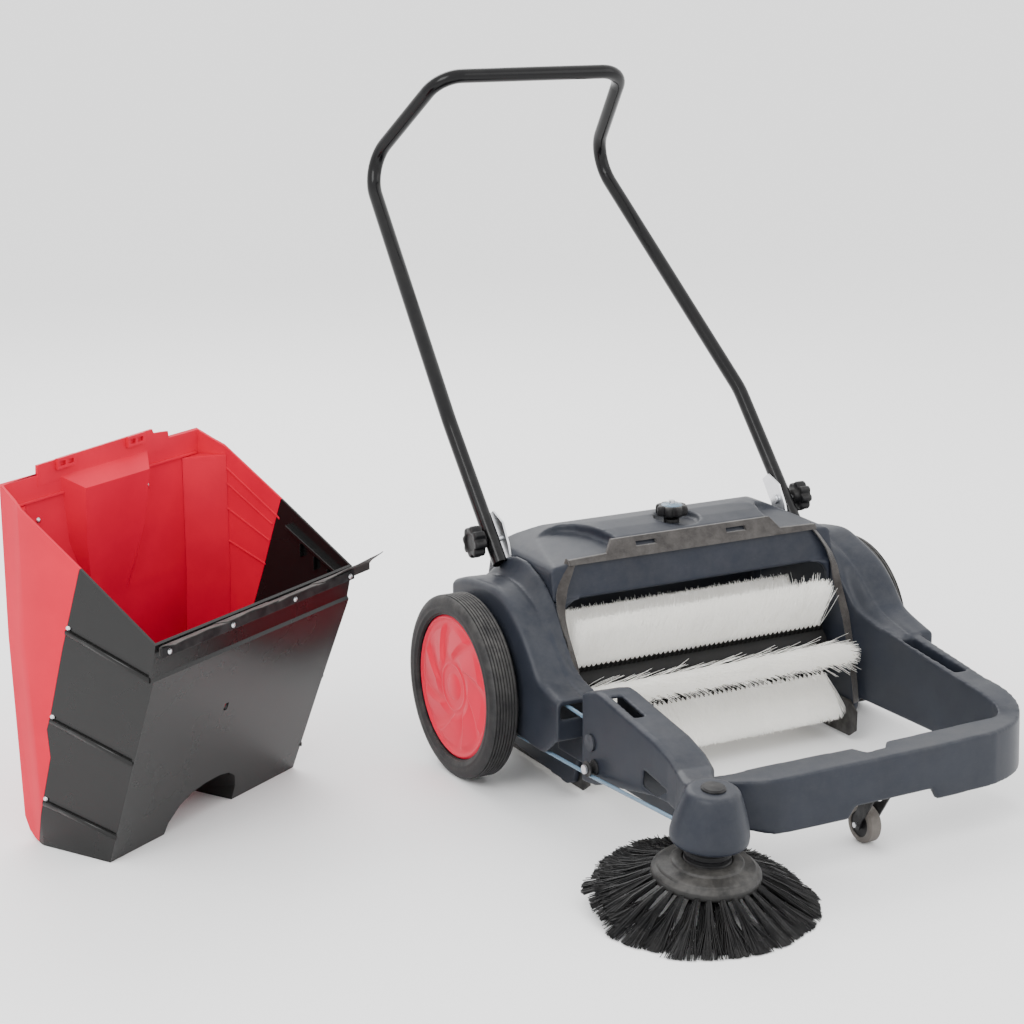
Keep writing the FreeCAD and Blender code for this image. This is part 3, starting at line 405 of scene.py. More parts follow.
def finish_of(name, colour, rough, grain=900.0, coarse=0.3, bump=0.12, cloud=0.12, dust=0.1,
              edge_highlight_and_wear=0.2, scratch=0.08, metal=0.0, coat=0.0, sheen=0.0, soft=0.0, clear=0.0,
              edge_highlight_wear_colour=None, shine=0.25):
    material = bpy.data.materials.new(name + "_finish")
    material.use_nodes = True
    tree = material.node_tree
    shader = tree.nodes["Principled BSDF"]
    texture = node(tree, "ShaderNodeGroup", {"node_tree": grain_group}, Scale=grain,
                   Coarseness=coarse)
    dark = tuple(c * (1 - cloud) for c in colour) + (1,)
    light = tuple(min(c * (1 + cloud), 1) for c in colour) + (1,)
    base = mix_colour(tree, remap(tree, texture.outputs["Cloud"], 0.3, 0.7), dark, light)
    # Convex edges and scratches turn towards a pale colour: painted edge highlight together with
    # rubbed wear and scratches.
    pale = edge_highlight_wear_colour or tuple(0.6 * c + 0.16 for c in colour)
    edges = node(tree, "ShaderNodeGroup", {"node_tree": edge_highlight_wear_group}, Amount=edge_highlight_and_wear)
    marks = node(tree, "ShaderNodeGroup", {"node_tree": scratch_group}, Amount=scratch)
    highlight_wear_and_scratches = math_node(tree, "MAXIMUM", edges.outputs[0], marks.outputs[0])
    base = mix_colour(tree, highlight_wear_and_scratches, base, tuple(pale) + (1,))
    film = node(tree, "ShaderNodeGroup", {"node_tree": dust_group}, Base_Color=base, Amount=dust)
    tree.links.new(film.outputs["Color"], shader.inputs["Base Color"])
    variation = remap(tree, texture.outputs["Cloud"], 0.3, 0.7, rough - 0.2 * cloud,
                      rough + 0.2 * cloud)
    roughness = math_node(tree, "ADD", variation,
                          math_node(tree, "MULTIPLY", film.outputs["Mask"], 0.5))
    tree.links.new(roughness, shader.inputs["Roughness"])
    relief = node(tree, "ShaderNodeBump", None, Strength=bump, Distance=0.0006,
                  Height=texture.outputs["Height"])
    tree.links.new(relief.outputs[0], shader.inputs["Normal"])
    shader.inputs["Metallic"].default_value = metal
    shader.inputs["Specular IOR Level"].default_value = shine
    shader.inputs["Coat Weight"].default_value = coat
    shader.inputs["Coat Roughness"].default_value = 0.08
    shader.inputs["Sheen Weight"].default_value = sheen
    shader.inputs["Subsurface Weight"].default_value = soft
    shader.inputs["Subsurface Radius"].default_value = (0.004, 0.004, 0.004)
    shader.inputs["Transmission Weight"].default_value = clear
    materials[name] = material
    return material


finish_of("grey_plastic", (0.0145, 0.0175, 0.0255), 0.42, grain=1500, bump=0.10, dust=0.04,
          edge_highlight_and_wear=0.25, shine=0.22)
# A darker, bluer copy of the grey plastic: painted shade for the front face of the brush cover.
finish_of("grey_plastic_painted_shade", (0.009, 0.012, 0.021), 0.46, grain=1500, bump=0.10, dust=0.05, edge_highlight_and_wear=0.1)
finish_of("black_plastic", (0.005, 0.005, 0.006), 0.38, grain=1200, bump=0.12, dust=0.05,
          shine=0.16)
finish_of("black_gloss_plastic", (0.006, 0.006, 0.006), 0.27, grain=700, bump=0.05, dust=0.01,
          edge_highlight_and_wear=0.0, scratch=0.0, cloud=0.04, shine=0.28)
finish_of("red_plastic", (0.56, 0.002, 0.028), 0.36, grain=900, bump=0.07, dust=0.01, edge_highlight_and_wear=0.0,
          soft=0.03, cloud=0.06, shine=0.09)
finish_of("disc_plastic", (0.66, 0.010, 0.044), 0.42, grain=1100, bump=0.08, dust=0.03, edge_highlight_and_wear=0.1,
          soft=0.04, cloud=0.06, shine=0.16)
finish_of("tyre_rubber", (0.012, 0.012, 0.013), 0.58, grain=1300, bump=0.25, dust=0.16, edge_highlight_and_wear=0.25)
finish_of("caster_rubber", (0.11, 0.098, 0.088), 0.62, grain=1100, bump=0.25, dust=0.3)
finish_of("soft_rubber", (0.013, 0.012, 0.012), 0.62, grain=900, bump=0.2, dust=0.18)
finish_of("seal_foam", (0.017, 0.014, 0.013), 0.86, grain=1600, coarse=1.2, bump=0.55, dust=0.14,
          scratch=0.0, sheen=0.25)
finish_of("handle_enamel", (0.002, 0.002, 0.0025), 0.24, grain=260, bump=0.03, dust=0.01, edge_highlight_and_wear=0.05,
          scratch=0.02, coat=0.2, shine=0.12)
finish_of("zinc_steel", (0.62, 0.63, 0.65), 0.34, grain=600, coarse=0.6, bump=0.08, dust=0.04,
          metal=1.0, cloud=0.16, edge_highlight_wear_colour=(0.8, 0.8, 0.82))
finish_of("white_bristle", (0.96, 0.95, 0.91), 0.45, grain=700, bump=0.05, dust=0.03, edge_highlight_and_wear=0.0,
          scratch=0.0, soft=0.2, cloud=0.04)
finish_of("black_bristle", (0.002, 0.002, 0.0026), 0.26, grain=500, bump=0.05, dust=0.03, edge_highlight_and_wear=0.0,
          scratch=0.0, cloud=0.4, shine=0.28)
finish_of("brush_black", (0.003, 0.003, 0.003), 0.6, dust=0.01, edge_highlight_and_wear=0.0, scratch=0.0)
finish_of("clear_belt", (0.16, 0.25, 0.34), 0.24, grain=700, bump=0.05, dust=0.03, clear=0.35)
finish_of("drive_plastic", (0.09, 0.09, 0.10), 0.45, grain=900, bump=0.1)
finish_of("clamp_plastic", (0.010, 0.010, 0.010), 0.42, grain=800, coarse=0.8, bump=0.35,
          dust=0.12, cloud=0.5)
# Painted glow: the white bristles get a faint emission, so they look brighter than the lamps make
# them.
bristle_shader = materials["white_bristle"].node_tree.nodes["Principled BSDF"]
bristle_shader.inputs["Emission Color"].default_value = (1.0, 0.98, 0.95, 1)
bristle_shader.inputs["Emission Strength"].default_value = 0.2
print("finishes", sorted(materials))

for cad_name, cad_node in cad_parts.items():
    slot_name = cad_node.data.materials[0].name
    cad_node.data.materials.clear()
    cad_node.data.materials.append(materials[slot_name])

# %% [markdown]
# ## Base moulding: fenders, chamber walls and U rail
# The machine stands on one large shell that is moulded in a single piece. Over each wheel it
# forms a humped fender with a groove beside the brush cover; the right side runs on as a long
# member, the front bar joins both sides, and an arch leaves room for the caster. Each fender
# flows along three lines: the hump outside, the groove, and the rim beside the brush cover. The
# lines are given as heights along the machine, because that is how such a flank is drawn.

# %% Fender lines
right_hump = line([(96, 298), (75, 306), (40, 318), (-8, 327), (-45, 329), (-83, 318), (-120, 304),
                   (-145, 290), (-170, 269), (-188, 248), (-204, 233), (-230, 222), (-280, 207)])
left_hump = line([(96, 298), (60, 310), (9, 317), (-45, 319), (-90, 303), (-130, 274),
                  (-165, 236), (-184, 212), (-200, 202), (-250, 190)])
right_groove = line([(96, 286), (60, 306), (-3, 325), (-31, 320), (-60, 308), (-93, 294),
                     (-121, 275), (-150, 252), (-173, 232), (-200, 223), (-225, 217),
                     (-280, 206)])
left_groove = line([(96, 286), (60, 306), (-3, 318), (-31, 314), (-60, 305), (-93, 290),
                    (-121, 266), (-150, 240), (-175, 214), (-188, 202), (-226, 190), (-250, 187)])
right_rim = line([(96, 300), (60, 330), (20, 345), (-16, 347), (-39, 341), (-74, 327), (-105, 300),
                  (-125, 272), (-144, 249), (-160, 234), (-176, 225), (-228, 212), (-280, 204)])
left_rim = line([(96, 300), (60, 330), (20, 345), (-16, 347), (-39, 341), (-74, 327), (-105, 300),
                 (-125, 270), (-144, 245), (-160, 226), (-176, 211), (-200, 200), (-250, 188)])
fender_foot = line([(96, 96), (-140, 97), (-205, 95), (-225, 108), (-250, 127), (-280, 128)])
print("fender tops", round(right_hump(-45)), round(left_hump(-45)), "mm")

# %% [markdown]
# A fender is a loft of cross-sections from back to front. A subdivision cage could give the same
# flow, but cross-sections keep the three lines exactly where they belong. The same loft, a wall's
# thickness smaller, is taken out of it, and the hub gets its hole.

# %% Fenders
FENDER_IN, FENDER_OUT, FENDER_BACK, FENDER_WALL = 272, 349, 96, 5.5


def fender_ring(side, y, hump, groove, rim, inset):
    """Cross-section of a fender: outer wall, hump, groove and inner rim."""
    crease = 0.5 * groove(y) + 0.5 * hump(y)
    across = line([(272, rim(y)), (278, rim(y) - 2.0), (287, 0.45 * rim(y) + 0.55 * crease),
                   (296, crease + 1.2), (300, crease - 1.6),
                   (304, crease + 0.8), (320, 0.4 * crease + 0.6 * hump(y)),
                   (335, hump(y) - 0.3), (343, hump(y) - 1.5), (349, hump(y) - 8)])
    low, high = FENDER_IN + inset * 1.2, FENDER_OUT - inset
    ring = [at(side * high, y, fender_foot(y) - 2 * inset)]
    for x in np.linspace(high, low, 27):
        ring.append(at(side * x, y, across(x) - inset))
    ring.append(at(side * low, y, fender_foot(y) - 2 * inset))
    return ring


def fender(side, front, hump, groove, rim):
    stations = np.linspace(FENDER_BACK, front, 60)
    solid = loft("fender", [fender_ring(side, y, hump, groove, rim, 0) for y in stations])
    inner = np.linspace(FENDER_BACK - 5, front + 6, 40)
    hollow = loft("hollow", [fender_ring(side, y, hump, groove, rim, FENDER_WALL)
                             for y in inner])
    hub = lathe("hub_hole", [(74, 0), (74, 30)], at(side * 335, 0, AXLE_Z), (side, 0, 0))
    cutters = [hollow, hub]
    if side == LEFT:
        cutters.append(box("belt_hole", (-342, -262, 160), (-302, -236, 182)))
    return carve(solid, cutters)


print("fender depth", FENDER_OUT - FENDER_IN, "mm")

# %% [markdown]
# The chamber walls are flat plates with the shaft's bore. The rail is one bar with walls that is
# swept round from the right member to the left one; the corners of its path are rounded by a
# smooth curve through the stations. A swept bar stays a clean mesh where a carved block would not.

# %% Chamber walls and rail
def chamber_wall(side):
    outline = [(96, 30), (96, 296), (-104, 296), (-116, 280), (-133, 246), (-150, 213),
               (-164, 164), (-176, 112), (-184, 74), (-186, 67), (-170, 20), (-150, 12)]
    wall = prism("wall", "x", outline, side * 263, side * 275)
    holes = [lathe("bore", [(17, 0), (17, 40)], at(side * 250, -88, 143), (side, 0, 0)),
             lathe("bore", [(11, 0), (11, 40)], at(side * 250, 0, AXLE_Z), (side, 0, 0))]
    return carve(wall, holes)


def rounded_corners(stations):
    """Stations with three more between each pair at a corner, on a smooth curve."""
    table = np.array(stations, dtype=float)
    smooth = [table[0]]
    for i in range(len(table) - 1):
        at_corner = i in range(3, 13) or i in range(20, 27)
        before, after = table[max(i - 1, 0)], table[min(i + 2, len(table) - 1)]
        for share in ((0.25, 0.5, 0.75, 1.0) if at_corner else (1.0,)):
            smooth.append((2 * table[i] + (table[i + 1] - before) * share
                           + (2 * before - 5 * table[i] + 4 * table[i + 1] - after) * share**2
                           + (3 * table[i] - before - 3 * table[i + 1] + after) * share**3) / 2)
    return smooth


def rail():
    """U-shaped rail: a walled bar swept round from the right member to the left one.

    Each station gives the outer and inner edge in plan, the top and the bottom.
    """
    stations = [
        (321, -240, 272, -240, 211, 74), (321, -278, 272, -278, 205.5, 74),
        (321, -330, 272, -330, 197, 74), (321, -400, 272, -400, 186, 74),
        (322, -446, 272, -460, 178, 74), (324, -466, 272, -478, 176, 74),
        (323, -492, 272, -500, 172, 74), (317, -518, 271, -518, 168, 74),
        (306, -541, 267, -532, 164, 74), (290, -561, 260, -541, 160, 74),
        (269, -579, 250, -546, 158, 74), (245, -592, 238, -548, 158, 74),
        (215, -602, 215, -549, 158, 74), (190, -606, 190, -549, 158, 74),
        (100, -610, 100, -552, 158, 74), (37, -611, 37, -554, 158, 74),
        (22, -611, 20, -573, 158, 74), (-18, -611, -16, -577, 158, 74),
        (-27, -611, -25, -554, 158, 74), (-100, -610, -100, -551, 158, 74),
        (-180, -608, -180, -549, 157, 74), (-205, -604, -214, -548, 156, 76),
        (-230, -593, -236, -547, 155, 82), (-254, -576, -250, -544, 154, 84.5),
        (-271, -556, -260, -538, 153, 84.5), (-283, -532, -267, -528, 152, 84.5),
        (-290, -508, -271, -512, 152, 84), (-292, -480, -272, -490, 153.5, 76),
        (-292, -400, -272, -400, 166, 74), (-292, -320, -272, -320, 178, 74),
        (-292, -236, -272, -236, 189, 74)]
    draft = 1.6
    rings = []
    for x, y, x2, y2, top, bottom in rounded_corners(stations):
        out = Vector((x - x2, y - y2)).normalized() * draft
        rings.append([at(x + out.x, y + out.y, bottom), at(x - out.x, y - out.y, top),
                      at(x2, y2, top), at(x2, y2, bottom)])
    body = loft("rail", rings)
    arch = [(-79, 50), (-73, 70), (-59, 91), (82, 92), (94, 71), (101, 50)]
    pocket = [(277, -284), (301, -284), (308, -412), (284, -412)]
    member_hollow = [(-480, 50), (-480, 118), (-250, 122), (-250, 50)]
    return carve(body, [
        prism("arch", "y", arch, -640, -500),
        prism("pocket", "z", pocket, 128, 260),
        prism("member_hollow", "x", member_hollow, 279, 314),
        box("bar_hollow", (-170, -600, 50), (185, -560, 150)),
        lathe("pin_hole", [(10, 0), (10, 60)], at(-310, -317, 144), (1, 0, 0))])


print("arch under the front bar", 101 + 79, "mm wide")

# %% [markdown]
# Now all of it becomes one skin, so that the fillets run through from fender to rail as they do
# in a moulding. The skin is then parted where the CAD parts it: across both members, and along the
# middle of the machine.

# %% Base moulding
PART_Y = -262
parts = [rail(), fender(RIGHT, -278, right_hump, right_groove, right_rim),
         fender(LEFT, -249, left_hump, left_groove, left_rim),
         chamber_wall(LEFT), chamber_wall(RIGHT), box("back_wall", (-266, 86, 60), (266, 96, 200))]
parts.append(prism("right_stub", "x", [(-150, 74), (-150, 214), (-200, 214), (-250, 206),
                                       (-250, 74)], 272, 279))
parts.append(prism("left_stub", "x", [(-150, 74), (-150, 206), (-200, 198), (-245, 188),
                                      (-245, 74)], -292, -272))
base_skin = mould(gather("base_skin", parts), 2.6, 7)
rear_skin, rail_skin = split(base_skin, ("rear_skin", "front_rail"), at(0, PART_Y, 0), (0, 1, 0))
right_half, left_half = split(rear_skin, ("right_fender", "left_fender"), at(0, 0, 0), (1, 0, 0))
settle(rail_skin, "chassis", "grey_plastic", ["front_frame"])
settle(left_half, "chassis", "grey_plastic", ["base_frame"])
settle(right_half, "chassis", "grey_plastic")

# %% [markdown]
# ## Brush cover
# A shallow dome closes the brush chamber. Its top is a plateau that rolls off to both sides,
# with a scooped facet at each front corner and a round pocket for the height knob. It is the
# space that a side outline and a front outline have in common, hollowed and relaxed.

# %% Brush cover
def crown(drop):
    half = [(0, 389), (120, 389), (160, 388), (185, 385), (203, 380), (221, 373), (238, 365),
            (252, 358), (264, 351), (271.5, 345)]
    inside = [(x * (1 - drop / 300), z - drop) for x, z in half]
    top = [(-x, z) for x, z in reversed(inside)] + inside[1:]
    return [(top[0][0], 150)] + top + [(top[-1][0], 150)]


def brush_cover():
    side_view = [(-104, 296), (-101, 312), (-95, 340), (-93, 352), (-84, 366), (-74, 380),
                 (-40, 386), (0, 389), (34, 386), (60, 379), (84, 364), (104, 341), (116, 300),
                 (126, 240), (128, 200.5), (94, 200.5), (94, 296)]
    cover = prism("brush_cover", "x", side_view, -271.5, 271.5)
    combine(cover, [prism("crown", "y", crown(0), -200, 200)], "INTERSECT")
    inner_view = [(-125, 250), (-98, 300), (-88, 343), (-68, 371), (0, 381), (54, 372), (95, 335),
                  (118, 240), (120, 150), (80, 150)]
    hollow = prism("cover_hollow", "x", inner_view, -265, 265)
    combine(hollow, [prism("inner_crown", "y", crown(7), -210, 210)], "INTERSECT")
    cutters = [lathe("spindle_hole", [(7, 0), (7, 80)], at(0, -20, 350), (0, 0, 1)),
               lathe("pocket", [(36, 0), (42, 20)], at(6, -26, 377.5), (0, 0, 1))]
    low_scoops = [lathe("under_pocket", [(44, 0), (48, 30)], at(6, -26, 371.5), (0, 0, 1))]
    for side in (LEFT, RIGHT):
        arc = [(270, -140), (268, -40), (256, 0), (236, 24), (213, 31), (190, 27), (168, 10),
               (152, -18), (142, -56), (136, -140)]
        if side == RIGHT:
            arc = [(270, -140), (268, -52), (250, -20), (226, 4), (204, 10), (184, 4), (168, -16),
                   (158, -44), (150, -84), (148, -140)]
        for drop, group in ((0, cutters), (6, low_scoops)):
            wide = [(200 + (x - 200) * (1 + drop / 50), -50 + (y + 50) * (1 + drop / 50))
                    for x, y in arc]
            bottom = [at(side * x, y, 359 - drop + 0.12 * (y + 85) - 0.10 * (x - 190))
                      for x, y in wide]
            top = [at(side * x, y, 420) for x, y in wide]
            group.append(loft("scoop", [bottom, top]))
    carve(hollow, low_scoops)
    carve(cover, [hollow] + cutters)
    gussets = [prism("gusset", "y", [(side * x, z) for x, z in (
        (263, 299), (226, 299), (238, 296), (249, 289), (256, 279), (259, 262), (263, 262))],
        -110, -98) for side in (LEFT, RIGHT)]
    return mould(gather("brush_cover", [cover] + gussets), 2.9, 5)


cover = settle(brush_cover(), "chassis", "grey_plastic", ["top_cover"])
# Painted shade: forward-facing faces on the cover's front, under the seal strip, take the darker,
# bluer copy of the grey plastic.
cover.data.materials.append(materials["grey_plastic_painted_shade"])
for face in cover.data.polygons:
    spot = face.center - at(0, 0, 0)
    if spot.y < -0.088 and 0.255 < spot.z < 0.350 and face.normal.y < -0.6:
        face.material_index = 1

# %% [markdown]
# ## Seal frame
# Foam-faced rubber runs round the mouth that the hopper closes: a stepped strip with two slots
# lies on the cover's front edge, and a leg on each side bows outwards past the top corner and then
# follows the edge of the chamber wall to the floor.

# %% Seal frame
def seal_frame():
    lying = prism("seal_strip", "x", [(-93.4, 351.4), (-99.5, 352), (-81.5, 380.6),
                                      (-74.5, 380.2)], -250, 250)
    step = prism("step", "y", [(-239, 350), (-239, 360), (-168, 362), (-152, 381.5), (152, 381.5),
                               (168, 362), (239, 360), (239, 350)], -130, -60)
    combine(lying, [step], "INTERSECT")
    carve(lying, [box("slot", (x - 19, -110, 366), (x + 19, -60, 373)) for x in (-92, 82)])
    outer = [(238, -80, 360), (250, -88, 342), (260, -95, 324), (268, -103, 308), (272, -113, 288),
             (271, -126, 262), (269, -139, 242), (270, -152, 214), (270, -166, 165),
             (270, -182, 98), (270, -187, 68)]
    inner = [(230, -97, 352), (241, -104, 335), (250, -109, 320), (258, -114, 292),
             (259, -118, 272), (259, -130, 246), (258, -142, 226), (257, -153, 206),
             (257, -169, 160), (257, -186, 98), (257, -191, 68)]
    pieces = [lying]
    for side in (LEFT, RIGHT):
        rings = []
        for a, b in zip(outer, inner):
            pair = [at(side * c[0], c[1], c[2]) for c in (a, b)]
            lift = Vector((0, -0.85, 0.5)) * 3 * MM
            rings.append([pair[0], pair[1], pair[1] + lift, pair[0] + lift])
        pieces.append(loft("seal_leg", rings))
    return soften(gather("seal_frame", pieces), 1.0, 3, 35)


settle(seal_frame(), "chassis", "seal_foam", ["hopper_seal"])

# %% [markdown]
# ## Side arm and bell
# The side brush hangs on an arm that hugs the left member. The arm is a narrow open box; its
# nose grows into a bell that covers the pulley and leans six degrees forward with the spindle.
# The box is a loft with its hollow carved out, and the bell is a turned profile; both become one
# skin, so that the bell grows out of the nose without a seam.

# %% Side arm and bell
LEAN = math.radians(6)
pod_axis = Vector((0, -math.sin(LEAN), math.cos(LEAN)))
cap_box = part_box("pod_cap")
cap_middle = (cap_box[0] + cap_box[1]) / 2
pod_foot = cap_middle - pod_axis * (cap_middle.z / pod_axis.z)


def arm_ring(y, outer, inner, bottom, top, crease):
    return [at(outer, y, bottom), at(outer, y, top - 3), at(outer + crease, y, top),
            at(inner - 6, y, top - 2), at(inner, y, top - 9), at(inner, y, bottom)]


def side_arm():
    stations = [(-290, -330, -264, 76, 214, 8), (-304, -330, -264, 76, 220, 8),
                (-330, -330, -264, 80, 228, 8), (-352, -330, -264, 88, 226, 8),
                (-407, -330, -264, 100, 216, 8), (-490, -330, -264, 118, 202, 8),
                (-530, -331, -266, 122, 191, 8), (-560, -336, -272, 120, 181, 8),
                (-590, -347, -292, 118, 181, 10), (-612, -352, -304, 120, 183, 14)]
    solid = loft("side_arm_shell", [arm_ring(*s) for s in stations])
    hollow = loft("hollow", [arm_ring(y, o + 5, i - 5, 40, t - 6, c)
                             for y, o, i, b, t, c in [(-280,) + stations[0][1:]] + stations[1:]])
    cutters = [hollow, box("inner_corner", (-325, -640, 60), (-250, -512, 163)),
               prism("window", "x", [(-462, 124), (-464, 149), (-531, 139), (-500, 120)],
                     -350, -318),
               box("slot", (-318, -420, 190), (-300, -352, 260)),
               box("belt_door", (-395, -640, 118), (-352, -575, 143)),
               lathe("pin_hole", [(10, 0), (10, 100)], at(-360, -317, 144), (1, 0, 0))]
    carve(solid, cutters)
    bell = lathe("bell", [(53, 107), (55.5, 109), (56, 118), (53, 134), (48.5, 150), (44, 164),
                          (40, 176), (37.5, 181), (33, 183.6), (28, 184), (0.0, 184)],
                 pod_foot, pod_axis, 96)
    shape = bmesh.new()
    shape.from_mesh(bell.data)
    bmesh.ops.holes_fill(shape, edges=shape.edges, sides=0)
    bmesh.ops.recalc_face_normals(shape, faces=shape.faces)
    shape.to_mesh(bell.data)
    shape.free()
    room = [(50.5, 118), (43, 150), (30, 163)]
    inside = lathe("inside", [(50.5, 90)] + room, pod_foot, pod_axis, 64)
    bore = lathe("bore", [(12.6, 55), (12.6, 200)], pod_foot, pod_axis, 32)
    carve(bell, [inside, bore])
    carve(solid, [lathe("clear", [(50.5, 80)] + room, pod_foot, pod_axis, 64)])
    return mould(gather("side_arm_shell", [solid, bell]), 2.0, 6)


settle(side_arm(), "side_arm_body", "grey_plastic", ["side_arm"])

# %% [markdown]
# ## Wheels
# Each tyre is solid rubber with round ribs that run round the tread and a bead ring beside
# the disc. A texture could draw the ribs, but their outline shows at the tread's edge, so the tyre
# is turned from its true profile.

# %% Tyres
def tyre(side):
    face = side * 355
    profile = [(119, 3), (126, 1), (136, 0), (143, 2), (147, 5)]
    ribs = 7
    start, step = 7.0, 36.0 / ribs
    for index in range(ribs):
        low = start + index * step
        profile += [(149, low), (149, low + step * 0.62), (146.6, low + step * 0.72),
                    (146.6, low + step * 0.92)]
    profile += [(148.6, 43.5), (147, 45.5), (143, 48.5), (138, 49.6), (134, 50), (131, 49.2),
                (129, 49.8), (126.5, 49.8), (124, 48.2), (120, 47.2), (119, 44)]
    obj = lathe("ribbed_tyre_left" if side == LEFT else "ribbed_tyre_right", profile + profile[:1],
                at(face, 0, AXLE_Z), (side, 0, 0), 128)
    return soften(obj, 0.5, 2, 40)


# %% [markdown]
# The disc is a red cover with curved raised vanes that sweep from a domed hub cap to a plain
# outer ring, as on a moulded fan. Its relief is one formula of radius and angle, so the vanes
# fade in and out softly, which separate vane solids would not do.

# %% Wheel discs
def disc_height(radius, angle):
    """Relief of the wheel disc above its base plane, in millimetres."""
    rim = 3.0 * np.exp(-(((radius - 112.5) / 2.6) ** 2))
    ring = 1.6 * np.exp(-(((radius - 38) / 2.2) ** 2))
    cap = 4.5 * np.clip(1 - (radius / 21) ** 2, 0, 1) ** 0.45
    vanes = 8
    swirl = angle * vanes / (2 * math.pi) - 0.95 * np.log(np.maximum(radius, 10) / 40)
    phase = swirl - np.floor(swirl)
    blade = np.clip(phase / 0.74, 0, 1)
    crest = np.where(phase < 0.74, blade ** 0.8, np.clip((0.86 - phase) / 0.12, 0, 1))
    reach = np.clip((radius - 43) / 12, 0, 1) * np.clip((105 - radius) / 9, 0, 1)
    return rim + ring + cap + 5.4 * crest * reach


def disc(side):
    radii = np.concatenate([np.linspace(0.6, 22, 14), np.linspace(24, 44, 14),
                            np.linspace(45.5, 117, 56)])
    steps = 256
    rings = []
    for radius in radii:
        ring = []
        for i in range(steps):
            angle = 2 * math.pi * i / steps
            lift = 41.0 + float(disc_height(radius, angle * -side))
            ring.append(at(side * (355 + lift), radius * math.cos(angle),
                           AXLE_Z + radius * math.sin(angle)))
        rings.append(ring)
    for radius, level in ((117.2, 39.5), (116, 38.5), (60, 38.5)):
        rings.append([at(side * (355 + level), radius * math.cos(2 * math.pi * i / steps),
                         AXLE_Z + radius * math.sin(2 * math.pi * i / steps))
                      for i in range(steps)])
    return shade(loft("spiral_disc_left" if side == LEFT else "spiral_disc_right", rings))


for side, word in ((LEFT, "left"), (RIGHT, "right")):
    settle(tyre(side), f"wheel_{word}_body", "tyre_rubber", [f"tyre_{word}"])
    settle(disc(side), f"wheel_{word}_body", "disc_plastic", [f"wheel_disc_{word}"])

# %% [markdown]
# ## Main brush
# Six rows of soft white filament stand on a black core. In a row the filaments fan out a little
# to both sides, so that the row ends in a fluffy ridge, and at each row's foot a toothed
# black strip holds them. Every filament is real geometry: a thin three-sided rod with a small
# bend.

# %% Main brush
def filaments(name, roots, bends, tips, thick, thin, rng):
    """Thin rods from root through bend to tip; each is three-sided."""
    count = len(roots)
    along = tips - roots
    along /= np.linalg.norm(along, axis=1)[:, None]
    helper = rng.normal(size=(count, 3))
    first = np.cross(along, helper)
    first /= np.linalg.norm(first, axis=1)[:, None]
    second = np.cross(along, first)
    rings = []
    for centre, radius in ((roots, thick), (bends, thick * 0.9), (tips, thin)):
        for k in range(3):
            angle = 2 * math.pi * k / 3
            rings.append(centre + radius * (math.cos(angle) * first + math.sin(angle) * second))
    points = np.stack(rings, axis=1).reshape(-1, 3)
    pattern = []
    for level in (0, 3):
        for k in range(3):
            pattern.append((level + k, level + (k + 1) % 3, level + 3 + (k + 1) % 3, level + 3 + k))
    faces = (np.arange(count)[:, None, None] * 9 + np.array(pattern)[None]).reshape(-1, 4)
    mesh = bpy.data.meshes.new(name)
    mesh.from_pydata(points.tolist(), [], faces.tolist())
    obj = bpy.data.objects.new(name, mesh)
    bpy.context.scene.collection.objects.link(obj)
    return shade(obj)


BRUSH_Y, BRUSH_Z, BRUSH_R = -88.0, 143.0, 137.0
row_count = 6


def brush_row(index):
    """White filaments of one row, from the core to their uneven tips."""
    rng = np.random.default_rng(40 + index)
    count = 7400
    turn = math.radians(20 + 360 / row_count * index)
    tuft = np.round(rng.uniform(-243, 243, count) / 4.2) * 4.2
    spread = rng.choice([-1, 1], count) * rng.uniform(0.0, 1.0, count)
    x0 = tuft + rng.normal(0, 1.3, count)
    x1 = x0 + rng.normal(0, 4.5, count)
    reach = BRUSH_R - np.abs(spread) * 6 - rng.gamma(1.5, 3.0, count)
    clump = 2.4 * np.sin(tuft * 0.9 + index) + 1.6 * np.sin(tuft * 0.37 + 2 * index)
    lean0 = spread * 6.0
    stray = np.where(rng.uniform(0, 1, count) < 0.08, 2.6, 1.0)
    lean1 = spread * 13.0 * stray + clump * 0.9 + rng.normal(0, 2.4, count)
    up = np.array([0, -math.sin(turn), math.cos(turn)])
    side = np.array([0, math.cos(turn), math.sin(turn)])
    centre = np.array(at(0, BRUSH_Y, BRUSH_Z))

    def spot(x, lean, radius):
        return centre + (np.outer(x, (1, 0, 0)) + np.outer(lean, side) + np.outer(radius, up)) * MM
    roots = spot(x0, lean0, np.full(count, 46.0))
    bends = spot((x0 + x1) / 2 + rng.normal(0, 0.8, count), (lean0 + lean1) * 0.5 + spread * 2.2,
                 46 + (reach - 46) * 0.55)
    tips = spot(np.clip(x1, -247, 247), lean1, reach)
    return filaments(f"bristle_row_{index + 1}", roots, bends, tips, 0.00036, 0.00022, rng)


def row_strip(index):
    """Toothed black strip at the foot of one row."""
    turn = math.radians(20 + 360 / row_count * index)
    points, faces = [], []
    teeth = 54
    for face_side in (-1, 1):
        start = len(points)
        for k in range(2 * teeth + 1):
            x = -243 + 486 * k / (2 * teeth)
            for lean, radius in ((11.5, 41), (13.5, 58 if k % 2 else 50)):
                y = BRUSH_Y - radius * math.sin(turn) + face_side * lean * math.cos(turn)
                z = BRUSH_Z + radius * math.cos(turn) + face_side * lean * math.sin(turn)
                points.append(at(x, y, z))
        faces += [(start + 2 * k, start + 2 * k + 1, start + 2 * k + 3, start + 2 * k + 2)
                  for k in range(2 * teeth)]
    obj = new_object(f"row_strip_{index + 1}", points, faces)
    wall = obj.modifiers.new("wall", "SOLIDIFY")
    wall.thickness = 1.2 * MM
    return obj


